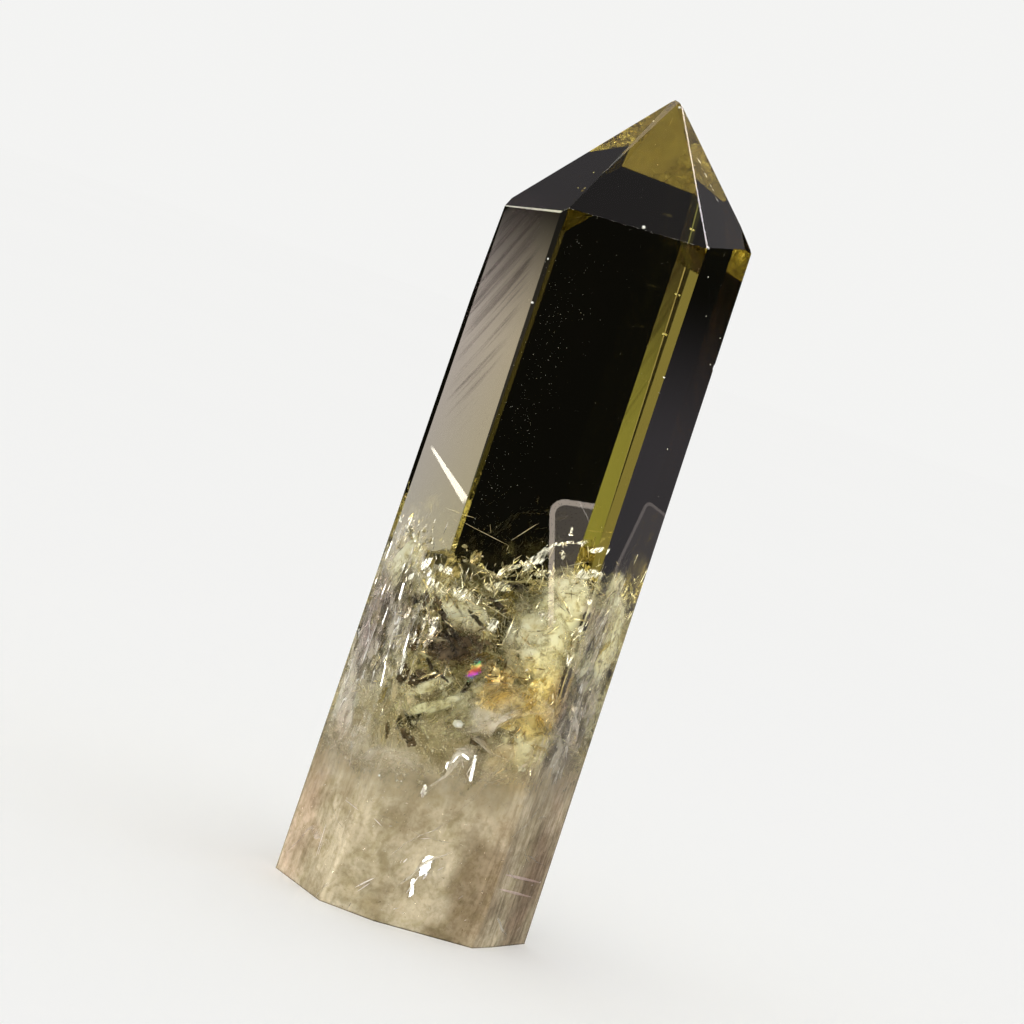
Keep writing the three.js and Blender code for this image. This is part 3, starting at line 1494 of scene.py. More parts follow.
@dataclass
class MilkyCore:
    """The dense milky heart of the foot: a lumpy body that fills the stone almost to its facets."""

    top: float = 24.0 * MM
    inset: float = 0.16 * MM
    lumps: Waves = ((0.14 * MM, 5.0 * MM), (0.05 * MM, 1.3 * MM))
    peaks: float = 6.0 * MM
    peak_cell: float = 6.0 * MM
    voxel: float = 0.42 * MM
    least: float = 0.07 * MM
    pocket: float = 0.9 * MM
    pocket_reach: float = 1.1 * MM
    pocket_top: float = 21.0
    side_depth: float = 1.2 * MM
    fibre_within: float = 0.12
    right_fibre: float = 0.8
    left_fibre: float = 0.3

    def build(self, stone: Stone, crystal: Piece) -> None:
        """Makes the core.

        Args:
            stone: the stone that it lies in.
            crystal: the dressed crystal, whose shape it takes.
        """
        deselect_all()
        core = bpy.data.objects.new("milky_core", crystal.data.copy())
        bpy.context.scene.collection.objects.link(core)
        activate(core)
        edit_all()
        bpy.ops.mesh.bisect(plane_co=(0.0, 0.0, self.top), plane_no=(0.0, 0.0, 1.0), clear_outer=True,
                            use_fill=True)
        leave_edit()
        grid = core.modifiers.new("grid", "REMESH")
        grid.mode = "VOXEL"
        grid.voxel_size = self.voxel
        bpy.ops.object.modifier_apply(modifier=grid.name)
        shift = Vector((13.7, 4.1, 8.8))
        outward = [vertex.normal.copy() for vertex in core.data.vertices]
        points = np.array([self.moved(vertex.co, normal, shift)
                           for vertex, normal in zip(core.data.vertices, outward)])
        for normal, reach in zip(stone.normals, stone.reaches):
            over = points @ normal - (reach - self.least)
            points -= np.maximum(over, 0.0)[:, None] * normal
        for mark in BRIGHT_MARKS + FLASH_MARKS + TAN_MARKS:
            if mark.up < self.pocket_top:
                middle, inward = stone.sight(mark.across, mark.up)
                far = np.linalg.norm(points - middle, axis=1) / self.pocket_reach
                points += (self.pocket * np.exp(-far ** 2))[:, None] * inward
        core.data.vertices.foreach_set("co", points.ravel())
        core.data.update()
        self.mark_sides(core, stone, points)
        bpy.ops.object.shade_smooth()
        hand_over(core, Milk().make(), stone)

    def mark_sides(self, core: Piece, stone: Stone, points: np.ndarray) -> None:
        """Writes the attribute "side": high behind the two side faces, where the milk looks fibrous.

        Args:
            core: the core.
            stone: the stone that it lies in.
            points: the places of its points.
        """
        share = np.full(len(points), self.fibre_within)
        for face, strength in ((SideFace.RIGHT, self.right_fibre), (SideFace.LEFT, self.left_fibre)):
            facet = stone.facet(face)
            depth = stone.reaches[facet] - points @ stone.normals[facet]
            share = np.maximum(share, strength * np.clip(1.5 - depth / self.side_depth, 0.0, 1.0))
        side = core.data.attributes.new("side", "FLOAT", "POINT")
        side.data.foreach_set("value", share)

    def moved(self, place: Vector, outward: Vector, shift: Vector) -> Vector:
        """Moves one point of the core in from the facets, and up or down by its peaks near the top.

        Args:
            place: where the point is.
            outward: the way out of the core there.
            shift: where its noise is read.

        Returns:
            Where the point goes.
        """
        push = -self.inset + sum(size * noise.noise(place / cell + shift) for size, cell in self.lumps)
        high = max(0.0, place.z / self.top - 0.45) / 0.55
        level = Vector((place.x, place.y, 0.0)) / self.peak_cell + shift
        lift = self.peaks * high * (noise.noise(level) + 0.4 * noise.noise(level * 2.7))
        if outward.z < -0.5:
            push = 0.0
        return place + outward * push + Vector((0.0, 0.0, lift + 0.12 * place.x * high))


@dataclass
class HazeCloud:
    """A cloud of small healed cracks that lie across each other through a band of the stone."""

    name: str
    finish: Finish
    count: int
    seed: int
    centre: Triple
    spread: Triple
    width: tuple[float, float]
    waves: Waves = ((1.0 * MM, 6.0 * MM), (0.3 * MM, 2.0 * MM))
    narrowest: float = 0.6
    cells: int = 18
    margin: float = 0.06 * MM
    smooth: bool = True

    def build(self, stone: Stone) -> None:
        """Makes the cracks of the cloud.

        Args:
            stone: the stone that they lie in.
        """
        draw = np.random.default_rng(self.seed)
        sheets = []
        for number in range(self.count):
            centre = np.array(self.centre) + draw.uniform(-1.0, 1.0, 3) * np.array(self.spread)
            facing = Vector(some_directions(1, draw)[0])
            wide = draw.uniform(*self.width) * MM
            high = wide * draw.uniform(self.narrowest, 1.0)
            sheets.append(Sheet(centre * MM, facing, wide, high, self.waves, self.seed + number,
                                draw.uniform(0.0, 180.0), self.cells, margin=self.margin, smooth=self.smooth))
        hand_over(sheets_piece(sheets, self.name, stone), self.finish.make(), stone)


@dataclass
class CrackCloud(HazeCloud):
    """A cloud of small open cracks with crumpled faces."""

    waves: Waves = ((0.6 * MM, 3.5 * MM), (0.16 * MM, 1.1 * MM), (0.03 * MM, 0.35 * MM))
    narrowest: float = 0.5
    margin: float = 0.25 * MM
    smooth: bool = False


@dataclass
class Flecks:
    """Broken bits of crack, scattered through a band of the stone."""

    name: str
    finish: Finish
    count: int
    seed: int
    centre: Triple
    spread: Triple
    size: float
    largest: float = 2.2
    margin: float = 0.3 * MM

    def build(self, stone: Stone) -> None:
        """Makes the flecks.

        Args:
            stone: the stone that they lie in.
        """
        draw = np.random.default_rng(self.seed)
        places = np.array(self.centre) * MM + draw.normal(size=(self.count, 3)) * np.array(self.spread) * MM
        sizes = self.size * MM * np.minimum(draw.lognormal(0.0, 0.6, self.count), self.largest)
        inside = stone.depth(places) > self.margin + sizes * 0.6
        places, sizes = places[inside], sizes[inside]
        stretch = np.stack([sizes, sizes * draw.uniform(0.25, 0.9, len(sizes)), sizes], axis=1)
        frames = frames_facing(some_directions(len(places), draw), draw.uniform(0.0, math.tau, len(places)))
        forms = [flake_form(6 + kind, 0.05 + 0.03 * kind, self.seed + kind) for kind in range(3)]
        hand_over(scatter(self.name, stone, forms, places, frames, stretch, draw), self.finish.make(), stone)


@dataclass(frozen=True)
class Mark:
    """One flaw with a place of its own: where it shows on the front of the stone, its size and its turn."""

    across: float
    up: float
    deep: float
    wide: float
    high: float
    turn: float = 0.0


def marks(*rows: tuple[float, ...]) -> list[Mark]:
    """Makes marks from their numbers."""
    return [Mark(*row) for row in rows]


@dataclass
class MarkSet:
    """Single flaws of one finish, each at its own place."""

    name: str
    finish: Finish
    marks: list[Mark]
    seed: int
    lamp: Vector | None = None
    jitter: float = 0.12
    grow: float = 1.5
    cells: int = 16
    waves: Waves = ((0.25 * MM, 1.2 * MM), (0.10 * MM, 0.45 * MM))
    margin: float = 0.06 * MM
    smooth: bool = True

    def build(self, stone: Stone) -> None:
        """Makes the flaws.

        Args:
            stone: the stone that they lie in.
        """
        draw = np.random.default_rng(self.seed)
        sheets = []
        for number, mark in enumerate(self.marks):
            facing = -Vector(stone.sight(mark.across, mark.up)[1])
            if self.lamp is not None:
                facing = stone.glint(mark.across, mark.up, mark.deep, self.lamp)
            facing = (facing + Vector(draw.normal(0.0, self.jitter, 3))).normalized()
            place = stone.seen(mark.across, mark.up, mark.deep)
            wide, high = mark.wide * self.grow * MM, mark.high * self.grow * MM
            sheets.append(Sheet(place, facing, wide, high, self.waves, self.seed + number, mark.turn,
                                self.cells, margin=self.margin, smooth=self.smooth))
        hand_over(sheets_piece(sheets, self.name, stone), self.finish.make(), stone)


@dataclass
class ShardSet:
    """Glinting clusters of small broken flakes, each cluster at its own place."""

    name: str
    finish: Finish
    marks: list[Mark]
    seed: int
    lamp: Vector
    size: float
    jitter: float
    fewest: int = 4
    crowd: float = 3.0
    slim: float = 0.45

    def build(self, stone: Stone) -> None:
        """Makes the clusters.

        Args:
            stone: the stone that they lie in.
        """
        draw = np.random.default_rng(self.seed)
        places, frames, sizes = [], [], []
        for mark in self.marks:
            count = int(self.fewest + self.crowd * mark.wide * mark.high)
            turn = math.radians(mark.turn)
            spots = draw.normal(0.0, 0.36, (count, 2)) * (mark.wide, mark.high)
            across = mark.across + spots[:, 0] * math.cos(turn) - spots[:, 1] * math.sin(turn)
            up = mark.up + spots[:, 0] * math.sin(turn) + spots[:, 1] * math.cos(turn)
            facings = [stone.glint(mark.across, mark.up, mark.deep, self.lamp)] * count
            normals = np.array(facings) + draw.normal(0.0, self.jitter, (count, 3))
            normals /= np.linalg.norm(normals, axis=1, keepdims=True)
            places.extend(stone.seen(x, z, mark.deep + draw.normal(0.0, 0.4)) for x, z in zip(across, up))
            frames.append(frames_facing(normals, turn + draw.normal(0.0, 0.6, count)))
            wide = self.size * MM * draw.lognormal(0.0, 0.45, count)
            sizes.append(np.stack([wide * 1.6, wide * draw.uniform(self.slim, 0.6, count), wide], axis=1))
        places, frames, sizes = np.array(places), np.concatenate(frames), np.concatenate(sizes)
        inside = stone.depth(places) > 0.15 * MM + sizes[:, 0] * 0.6
        forms = [flake_form(5 + kind, 0.04 + 0.03 * kind, self.seed + kind) for kind in range(4)]
        hand_over(scatter(self.name, stone, forms, places[inside], frames[inside], sizes[inside], draw),
                  self.finish.make(), stone)


@dataclass
class Splinters:
    """Long thin splinters of crack, thrown across each other along the crest of the cloudy zone."""

    name: str
    finish: Finish
    count: int
    seed: int
    lamp: Vector
    crest: float = 39.0
    rise: float = 0.42
    level_from: float = 7.0
    spread: float = 2.2
    deep: tuple[float, float] = (0.3, 5.0)
    length: float = 1.3
    jitter: float = 0.5
    margin: float = 0.1 * MM
    inner: float = 0.0
    outer: float = 13.6
    sway: float = math.pi
    slim: tuple[float, float] = (0.05, 0.20)

    def build(self, stone: Stone) -> None:
        """Makes the splinters.

        Args:
            stone: the stone that they lie in.
        """
        draw = np.random.default_rng(self.seed)
        across = draw.uniform(self.inner, self.outer, self.count) * draw.choice((-1.0, 1.0), self.count)
        up = self.crest + self.rise * np.minimum(across, self.level_from)
        up = up - np.abs(draw.normal(0.0, 1.0, self.count)) * self.spread
        up += draw.normal(0.0, 0.8, self.count)
        deep = draw.uniform(*self.deep, self.count)
        places = np.array([stone.seen(x, z, y) for x, z, y in zip(across, up, deep)])
        normals = np.array([stone.glint(x, z, y, self.lamp) for x, z, y in zip(across, up, deep)])
        normals += draw.normal(0.0, self.jitter, normals.shape)
        normals /= np.linalg.norm(normals, axis=1, keepdims=True)
        frames = frames_facing(normals, math.pi / 2.0 + draw.uniform(-self.sway, self.sway, self.count))
        long = self.length * MM * draw.lognormal(0.0, 0.45, self.count)
        sizes = np.stack([long, long * draw.uniform(*self.slim, self.count), long * 0.4], axis=1)
        inside = (stone.depth(places) > self.margin + long * 0.35 * self.jitter) & (places[:, 2] > long)
        forms = [flake_form(5 + kind, 0.05, self.seed + kind) for kind in range(3)]
        hand_over(scatter(self.name, stone, forms, places[inside], frames[inside], sizes[inside], draw),
                  self.finish.make(), stone)


@dataclass
class Grains:
    """Fine white grains that cloud the foot of the stone, thinner towards its top."""

    name: str = "milk_grains"
    count: int = 12000
    seed: int = 71
    top: float = 34.0
    reach: float = 13.5
    size: float = 0.10
    margin: float = 0.4 * MM

    def build(self, stone: Stone) -> None:
        """Makes the grains.

        Args:
            stone: the stone that they lie in.
        """
        draw = np.random.default_rng(self.seed)
        places = draw.uniform(-self.reach, self.reach, (self.count * 2, 3))
        places[:, 2] = self.top * (1.0 - np.sqrt(draw.uniform(0.0, 1.0, self.count * 2))) + 0.2
        places *= MM
        sizes = self.size * MM * draw.lognormal(0.0, 0.35, len(places))
        inside = stone.depth(places) > self.margin + sizes * 0.5
        places, sizes = places[inside][:self.count], sizes[inside][:self.count]
        stretch = sizes[:, None] * draw.uniform(0.6, 1.3, (len(sizes), 3))
        frames = frames_facing(some_directions(len(places), draw), draw.uniform(0.0, math.tau, len(places)))
        grains = scatter(self.name, stone, [crumb_form()], places, frames, stretch, draw)
        hand_over(grains, Frost("milk_frost").make(), stone)


@dataclass
class Hair:
    """A thin line of light: from where to where it shows on the front, how deep and how thick."""

    start: tuple[float, float]
    end: tuple[float, float]
    deep: float = 3.0
    thick: float = 0.05


@dataclass
class Hairs:
    """Single fine lines of crack, each at its own place, and a haze of short needles."""

    name: str
    finish: Finish
    hairs: list[Hair]
    loose: int
    seed: int
    loose_thick: tuple[float, float] = (0.03, 0.09)
    loose_long: tuple[float, float] = (0.4, 1.6)

    def build(self, stone: Stone) -> None:
        """Makes the lines.

        Args:
            stone: the stone that they lie in.
        """
        draw = np.random.default_rng(self.seed)
        centres, alongs, sizes = [], [], []
        for hair in self.hairs:
            first = stone.seen(*hair.start, hair.deep)
            last = stone.seen(*hair.end, hair.deep + draw.uniform(-1.0, 1.0))
            centres.append((first + last) / 2.0)
            alongs.append(last - first)
            sizes.append((np.linalg.norm(last - first), hair.thick * MM, hair.thick * MM))
        tries = self.loose * 3
        places = np.stack([draw.uniform(-12.0, 12.0, tries), draw.uniform(-11.0, 11.0, tries),
                           draw.triangular(2.0, 34.0, 43.0, tries)], axis=1) * MM
        places = places[stone.depth(places) > 0.8 * MM][:self.loose]
        for place in places:
            centres.append(place)
            alongs.append(draw.normal(0.0, 1.0, 3) * (0.5, 0.5, 1.1))
            sizes.append((draw.uniform(*self.loose_long) * MM, *(draw.uniform(*self.loose_thick, 2) * MM)))
        alongs = np.array(alongs)
        alongs /= np.linalg.norm(alongs, axis=1, keepdims=True)
        frames = frames_facing(alongs, draw.uniform(0.0, math.tau, len(alongs)))[:, :, [2, 0, 1]]
        piece = scatter(self.name, stone, [needle_form()], np.array(centres), frames, np.array(sizes), draw)
        hand_over(piece, self.finish.make(), stone)


@dataclass
class Dust:
    """Tiny pits and dust just under the polish, seen as pale specks before the dark."""

    seed: int = 91
    count: int = 700
    size: float = 0.030 * MM
    band: tuple[float, float] = (-4.6, 1.6)
    band_ups: tuple[float, float] = (42.0, 74.0)
    acrosses: tuple[float, float] = (-13.5, 14.0)
    ups: tuple[float, float] = (30.0, 89.0)
    deeps: tuple[float, float] = (0.1, 0.5)

    def build(self, stone: Stone) -> None:
        """Makes the specks.

        Args:
            stone: the stone that they lie in.
        """
        draw = np.random.default_rng(self.seed)
        places = []
        for number in range(self.count):
            in_band = number % 2 == 1
            across = draw.normal(*self.band) if in_band else draw.uniform(*self.acrosses)
            up = draw.uniform(*(self.band_ups if in_band else self.ups))
            places.append(stone.seen(across, up, draw.uniform(*self.deeps)))
        places = np.array(places)
        sizes = self.size * draw.lognormal(0.0, 0.45, len(places))
        inside = stone.depth(places) > sizes * 0.6
        places, sizes = places[inside], sizes[inside]
        frames = frames_facing(some_directions(len(places), draw), np.zeros(len(places)))
        stretch = np.repeat(sizes[:, None], 3, axis=1)
        finish = Frost("dust_frost", (0.46, 0.46, 0.42), (0.28, 0.27, 0.24))
        specks = scatter("dust_specks", stone, [grain_form()], places, frames, stretch, draw)
        hand_over(specks, finish.make(), stone)


@dataclass
class Skin:
    """Thin veils that lie flat behind one ground face of the crystal."""

    name: str
    finish: Finish
    face: SideFace
    across: float
    up: float
    depths: tuple[float, ...]
    width: float
    height: float
    seed: int
    waves: Waves = ((0.2 * MM, 9.0 * MM),)
    margin: float = 0.1 * MM

    def build(self, stone: Stone) -> None:
        """Makes the veils.

        Args:
            stone: the stone that they lie in.
        """
        facet = stone.facet(self.face)
        facing = Vector(stone.normals[facet])
        sheets = []
        for number, deep in enumerate(self.depths):
            place = stone.sight(self.across, self.up)[0] - stone.normals[facet] * deep * MM
            sheets.append(Sheet(place, facing, self.width * MM, self.height * MM, self.waves,
                                self.seed + number, margin=self.margin))
        hand_over(sheets_piece(sheets, self.name, stone), self.finish.make(), stone)


@dataclass
class CrossVeil:
    """One wavy veil that closes the cloudy zone off above. It rises to the right."""

    up: float = 38.2
    deep: float = 10.0
    width: float = 36.0 * MM
    rise: float = 9.0
    cells: int = 90
    film: float = 0.02 * MM
    margin: float = 0.2 * MM
    seed: int = 351
    waves: Waves = ((1.8 * MM, 7.0 * MM), (0.6 * MM, 2.2 * MM))

    def build(self, stone: Stone) -> None:
        """Makes the veil.

        Args:
            stone: the stone that it lies in.
        """
        inward = Vector(stone.sight(0.0, self.up)[1])
        facing = Vector((1.0, 0.0, 0.0)).cross(inward).normalized()
        facing.rotate(Matrix.Rotation(-math.radians(self.rise), 3, inward))
        veil = Sheet(stone.seen(0.0, self.up, self.deep), facing, self.width, self.width, self.waves,
                     self.seed, cells=self.cells, film=self.film, margin=self.margin)
        hand_over(sheets_piece([veil], "cross_veil", stone), EvenHaze().make())


@dataclass
class Beads:
    """Single small pits and grains that catch the light, each at its own place: across, up and size."""

    name: str
    finish: Finish
    beads: tuple[tuple[float, float, float], ...]
    seed: int
    deep: float = 0.16

    def build(self, stone: Stone) -> None:
        """Makes the beads.

        Args:
            stone: the stone that they lie in.
        """
        draw = np.random.default_rng(self.seed)
        places = np.array([stone.seen(across, up, self.deep) for across, up, _ in self.beads])
        sizes = np.array([size for _, _, size in self.beads]) * MM
        places += np.minimum(0.0, stone.depth(places) - sizes * 0.55)[:, None] * self.outward(stone, places)
        frames = frames_facing(some_directions(len(places), draw), np.zeros(len(places)))
        stretch = sizes[:, None] * draw.uniform(0.7, 1.1, (len(sizes), 3))
        beads = scatter(self.name, stone, [grain_form()], places, frames, stretch, draw)
        hand_over(beads, self.finish.make(), stone)

    def outward(self, stone: Stone, places: np.ndarray) -> np.ndarray:
        """Gives the way that the nearest facet of each place faces."""
        return stone.normals[(stone.reaches[None, :] - places @ stone.normals.T).argmin(axis=1)]


# ---- The single flaws: across, up and deep, then wide, high and turned ---------------------------

BRIGHT_MARKS: list[Mark] = marks(
    (-1.2, 38.8, 3, 0.5, 1.4, -40), (-0.1, 39.7, 3, 0.4, 1.4, -60), (0.7, 40.3, 2.5, 0.4, 1.5, -50),
    (2, 41.4, 2, 1, 3.6, -33), (1.3, 40.3, 2, 0.5, 1.6, -25), (3.6, 43.5, 2.5, 0.35, 2.2, -62),
    (4.3, 45.1, 2.5, 0.25, 0.7, 5), (5.7, 44.3, 2.5, 0.35, 1, -70), (7.5, 44.1, 2, 0.5, 1.5, -60),
    (7.3, 41.4, 2, 0.9, 2.2, -65), (6.6, 40.5, 2.5, 0.4, 1.9, -60), (4.3, 42.4, 3, 0.4, 0.8, 20),
    (8.5, 38.8, 0.4, 0.4, 0.5), (8.5, 35.8, 0.4, 0.4, 0.7), (11.5, 44.3, 0.3, 0.16, 1.1),
    (9.9, 41.9, 0.3, 0.16, 0.9), (11.3, 36.2, 0.3, 0.16, 1.4), (-0.8, 37.4, 3, 1.6, 1, 20),
    (-1.9, 36.9, 3, 1.3, 0.6, -20), (-4.2, 35.2, 3, 2.3, 1.2, -10), (-6.5, 37.1, 2, 0.9, 0.7),
    (-0.3, 33.3, 2, 0.9, 1.4, -20), (4.7, 35.9, 1, 1.5, 0.8), (-5, 33.3, 3, 1.2, 0.7, -30),
    (-2.9, 34.3, 3, 1.4, 0.6, -20), (2.8, 40, 7, 1.7, 0.6, 30), (5.4, 38.5, 5, 1, 0.6),
    (-8.9, 37.1, 0.5, 0.9, 1.7, -35), (-7.8, 35.5, 0.5, 1.1, 0.9), (-9.9, 35.4, 0.4, 0.6, 0.9, -20),
    (-9.1, 31.7, 0.4, 0.8, 1.3, -15), (-9.5, 30.1, 0.4, 0.5, 1.7), (-12.9, 40.6, 0.3, 1, 0.4, -35),
    (-11.9, 39.9, 0.3, 1.2, 0.4, -40), (-10.9, 39.3, 0.4, 1.2, 0.5, -40), (-10, 38.5, 0.4, 1.4, 0.6, -40),
    (-8.3, 36.3, 0.4, 1.2, 0.7, -45), (-7.6, 29.6, 0.4, 0.4, 1.5, 10), (-7.9, 26.6, 0.4, 0.5, 2.4, 12),
    (-12.2, 33, 0.3, 0.25, 1.2), (-13, 37, 0.3, 0.25, 1.6), (-11, 36, 0.3, 0.4, 0.9, -10),
    (10.2, 33, 0.5, 1.1, 1.8, -20), (10.8, 31.6, 0.5, 0.8, 1.5, -25), (11.4, 30.4, 0.5, 0.5, 1, -25),
    (9.8, 31, 0.5, 0.5, 0.9), (11.9, 36.6, 0.4, 0.3, 1.4, -20), (12.8, 38.6, 0.3, 0.3, 1.6, -10),
    (9.6, 37.6, 0.4, 0.5, 0.7), (-6.1, 30.2, 1.5, 0.7, 3.1), (-6.3, 31.7, 1.5, 0.6, 0.9),
    (9.8, 38.2, 3, 0.7, 0.6), (7.3, 20.1, 0.4, 0.9, 0.5), (-2.9, 25.1, 3, 3.1, 0.5, -45),
    (-11.9, 40.6, 4, 0.4, 1.3), (-1.6, 14.9, 0.5, 0.5, 1.1, 5), (-4.7, 14.9, 0.4, 0.3, 0.3),
)
FLASH_MARKS: list[Mark] = marks(
    (1.05, 7.7, 0.40, 0.75, 2.2, -5), (0.4, 4.9, 0.35, 0.28, 1.9, 14), (2.45, 18.6, 0.5, 0.22, 1.9, 8),
    (0.35, 18.9, 0.5, 0.22, 1, -25), (1.3, 19.5, 0.5, 0.8, 0.18, -20), (-0.2, 18, 0.5, 0.2, 0.6),
    (11.5, 44.3, 0.3, 0.10, 1), (12.9, 43.4, 0.3, 0.12, 1.6), (11.1, 41.5, 0.3, 0.14, 1.2),
    (12.7, 34.6, 0.3, 0.13, 1.8), (10, 41.9, 0.3, 0.10, 0.9), (9.5, 31.6, 0.4, 0.4, 0.5),
    (-12.2, 33, 0.3, 0.13, 1.2), (-13, 37, 0.3, 0.11, 1.6), (-11.2, 30.5, 0.3, 0.12, 1.4),
    (-10.4, 33.6, 0.3, 0.20, 1.2, 8), (-8.2, 28.4, 0.3, 0.16, 1.8, 6), (-9.4, 24.6, 0.3, 0.14, 1.6, 12),
)
WISP_MARKS: list[Mark] = marks(
    (4.6, 85.6, 0.4, 0.9, 0.18, -30), (5.5, 84.6, 0.4, 1.2, 0.22, -35), (6.7, 83.4, 0.4, 0.9, 0.18, -35),
    (7.6, 82.4, 0.4, 0.7, 0.14, -38), (5.2, 86.2, 0.4, 0.6, 0.12, -42),
)
GOLD_MARKS: list[Mark] = marks(
    (2, 27.3, 4, 1.9, 3.7, -12), (6.3, 28.9, 4, 1.4, 3.3, -25), (7, 26.4, 4, 2.3, 1.4, 20),
    (5.7, 25.3, 5, 1.2, 2.3), (7.6, 29.5, 4, 1.2, 2.3, 10), (3.8, 30.2, 6, 2.1, 1.2, -20),
    (0.7, 29.2, 5, 0.8, 1), (4.3, 24.3, 5, 1.9, 1.2),
)
CLOUD_MARKS: list[Mark] = marks(
    (5.9, 34.8, 5, 5.5, 10), (5, 31, 6.5, 6, 7, 20), (-3.4, 33.3, 2.5, 4, 3, -15), (10, 32, 3, 2, 3.6, -15),
    (6.5, 38, 6, 4, 6, 30), (3, 36.5, 7, 4.5, 3, 30), (1.5, 25, 5, 6, 4), (6.5, 22.5, 3, 4, 4),
    (11.5, 36, 1.5, 3.5, 8), (10.5, 40, 2, 3, 4), (-11, 36.5, 1.5, 4.5, 6), (-11.5, 32, 2, 3, 5),
    (10.2, 32.3, 0.5, 1.5, 3.2, -15), (11, 30.4, 0.5, 0.8, 2.2, -25), (11.9, 37.5, 0.5, 1, 4, 6),
    (-4.4, 25.3, 2.2, 4.2, 1, 38), (-2.6, 23.9, 2.2, 3.4, 0.9, 38), (-4.6, 22.8, 2.4, 3, 0.8, 35),
    (6, 37.5, 2, 4.5, 5), (4.5, 33, 2.5, 5, 6, 15), (7, 28, 2.5, 3.5, 6),
)
DARK_MARKS: list[Mark] = marks(
    (-2.9, 30, 2, 5.6, 2.7, 20), (-7.9, 33.6, 2, 1.6, 1.6), (-4.9, 19.4, 4, 2.6, 1, -38),
    (1.9, 21.4, 3, 1.8, 1.4), (-1.7, 15.8, 2, 0.9, 0.7), (6.6, 33, 3, 0.7, 0.25, 30),
    (10, 16.8, 4, 2.5, 6.6), (9.2, 27.8, 3, 1.4, 3.5), (-7.6, 30.2, 5, 3.1, 4.1), (5.9, 9, 2, 0.9, 2.1),
    (4.3, 7.4, 3, 1, 1.4), (-5.5, 25.5, 4, 3.1, 2.1),
)
BLACK_MARKS: list[Mark] = marks(
    (-4.4, 31.6, 1.6, 2.4, 0.5, -36), (-3, 30.6, 1.6, 2.2, 0.6, -30), (-3.9, 30.2, 1.9, 2.6, 0.5, -42),
    (-5.6, 29.2, 1.6, 0.8, 0.8, -60), (-5.2, 27.4, 1.7, 1.4, 0.35, -50), (-0.9, 26.4, 1.8, 0.5, 1.7, -15),
    (-5.6, 32.8, 1.6, 1, 0.5, -30), (-3.6, 26.6, 1.8, 2.2, 0.25, -28), (-2.2, 33.4, 1.9, 2.2, 0.5, -30),
    (-8.6, 33.4, 0.9, 1.4, 1, 30), (-0.4, 35.4, 2.2, 2.4, 0.5, -25), (1, 38, 3, 2, 0.5, 25),
    (8.8, 30, 0.9, 0.6, 3, 2), (8.8, 36.6, 0.9, 0.6, 1.8, 2),
)
TAN_MARKS: list[Mark] = marks(
    (-5.7, 3.3, 2, 2.7, 0.5, -40), (-3.3, 2.6, 3, 1.6, 4.8), (-9.6, 5.9, 3, 1, 5.2),
    (-10.7, 6.9, 2, 0.5, 5.2), (-8.1, 25.5, 3, 1, 4.6, 15),
)
HAIRS: list[Hair] = [
    Hair((-6.7, 42.4), (-1.4, 41.6)), Hair((-8.9, 43.2), (-7.1, 43.2)), Hair((-1.4, 42.1), (0.8, 44.8)),
    Hair((2.8, 43.2), (5.9, 44.3)), Hair((-4.7, 28), (-3.4, 28.6)), Hair((-3.1, 27.6), (-0.9, 25.7)),
    Hair((11.2, 43), (9.3, 37.3), 0.4, 0.07), Hair((11.1, 31.7), (12.6, 28.1), 0.4, 0.07),
    Hair((-6, 26.6), (-2.9, 28.9)), Hair((-13.4, 39), (-10.7, 37.4)), Hair((1.2, 31.7), (2.8, 34.9)),
    Hair((-6.5, 31.7), (-1.4, 28.4)), Hair((-3.9, 24), (-1.8, 26.2)),
]
FOOT_FLASHES: list[Hair] = [
    Hair((0.75, 6.3), (0.05, 4.1), 0.22, 0.20), Hair((1.5, 7), (1.2, 6), 0.2, 0.3),
    Hair((2.3, 7.3), (2.9, 7.9), 0.15, 0.14), Hair((-1.5, 7.3), (-1.75, 5.6), 0.2, 0.16),
    Hair((-1, 7.6), (-1.3, 7), 0.2, 0.18), Hair((2.4, 19.6), (2, 17.7), 0.3, 0.12),
    Hair((2, 17.9), (2.6, 17.3), 0.3, 0.1), Hair((0.2, 18.9), (-0.2, 18.1), 0.3, 0.14),
    Hair((1.15, 19), (1.6, 18.2), 0.3, 0.12), Hair((0, 19.8), (1.2, 20.2), 0.3, 0.14),
    Hair((-0.3, 17.5), (-0.35, 17.1), 0.3, 0.14), Hair((7.6, 20.8), (6.9, 19.9), 0.25, 0.3),
    Hair((-1.75, 15.2), (-1.5, 13.8), 0.25, 0.42), Hair((-10, 16.4), (-9.7, 14.6), 0.1, 0.09),
    Hair((-9.7, 12.6), (-9.1, 11.3), 0.1, 0.09), Hair((-9.1, 11.3), (-7.4, 10.7), 0.1, 0.10),
    Hair((-5.6, 10.4), (-4.6, 9.9), 0.1, 0.12), Hair((-4.6, 9.9), (-3.4, 10.2), 0.1, 0.09),
    Hair((-0.4, 9.9), (0.6, 10.3), 0.1, 0.08), Hair((-5.2, 3), (-3.6, 4.6), 0.12, 0.22),
    Hair((-4.9, 2.6), (-3.9, 3.9), 0.12, 0.14), Hair((6.6, 3.3), (7.4, 4.3), 0.12, 0.20),
    Hair((5.3, 5.2), (5.7, 5.8), 0.12, 0.14), Hair((-1.4, 1.7), (-0.2, 2.4), 0.12, 0.16),
    Hair((-10.2, 8.6), (-10.1, 4.6), 0.1, 0.14), Hair((-9.9, 6.8), (-9.85, 3.4), 0.1, 0.10),
    Hair((4.6, 13), (4.9, 12.2), 0.1, 0.14), Hair((12.7, 9.4), (12.2, 9), 0.1, 0.26),
    Hair((12.5, 5.2), (12.2, 4), 0.1, 0.12),
]
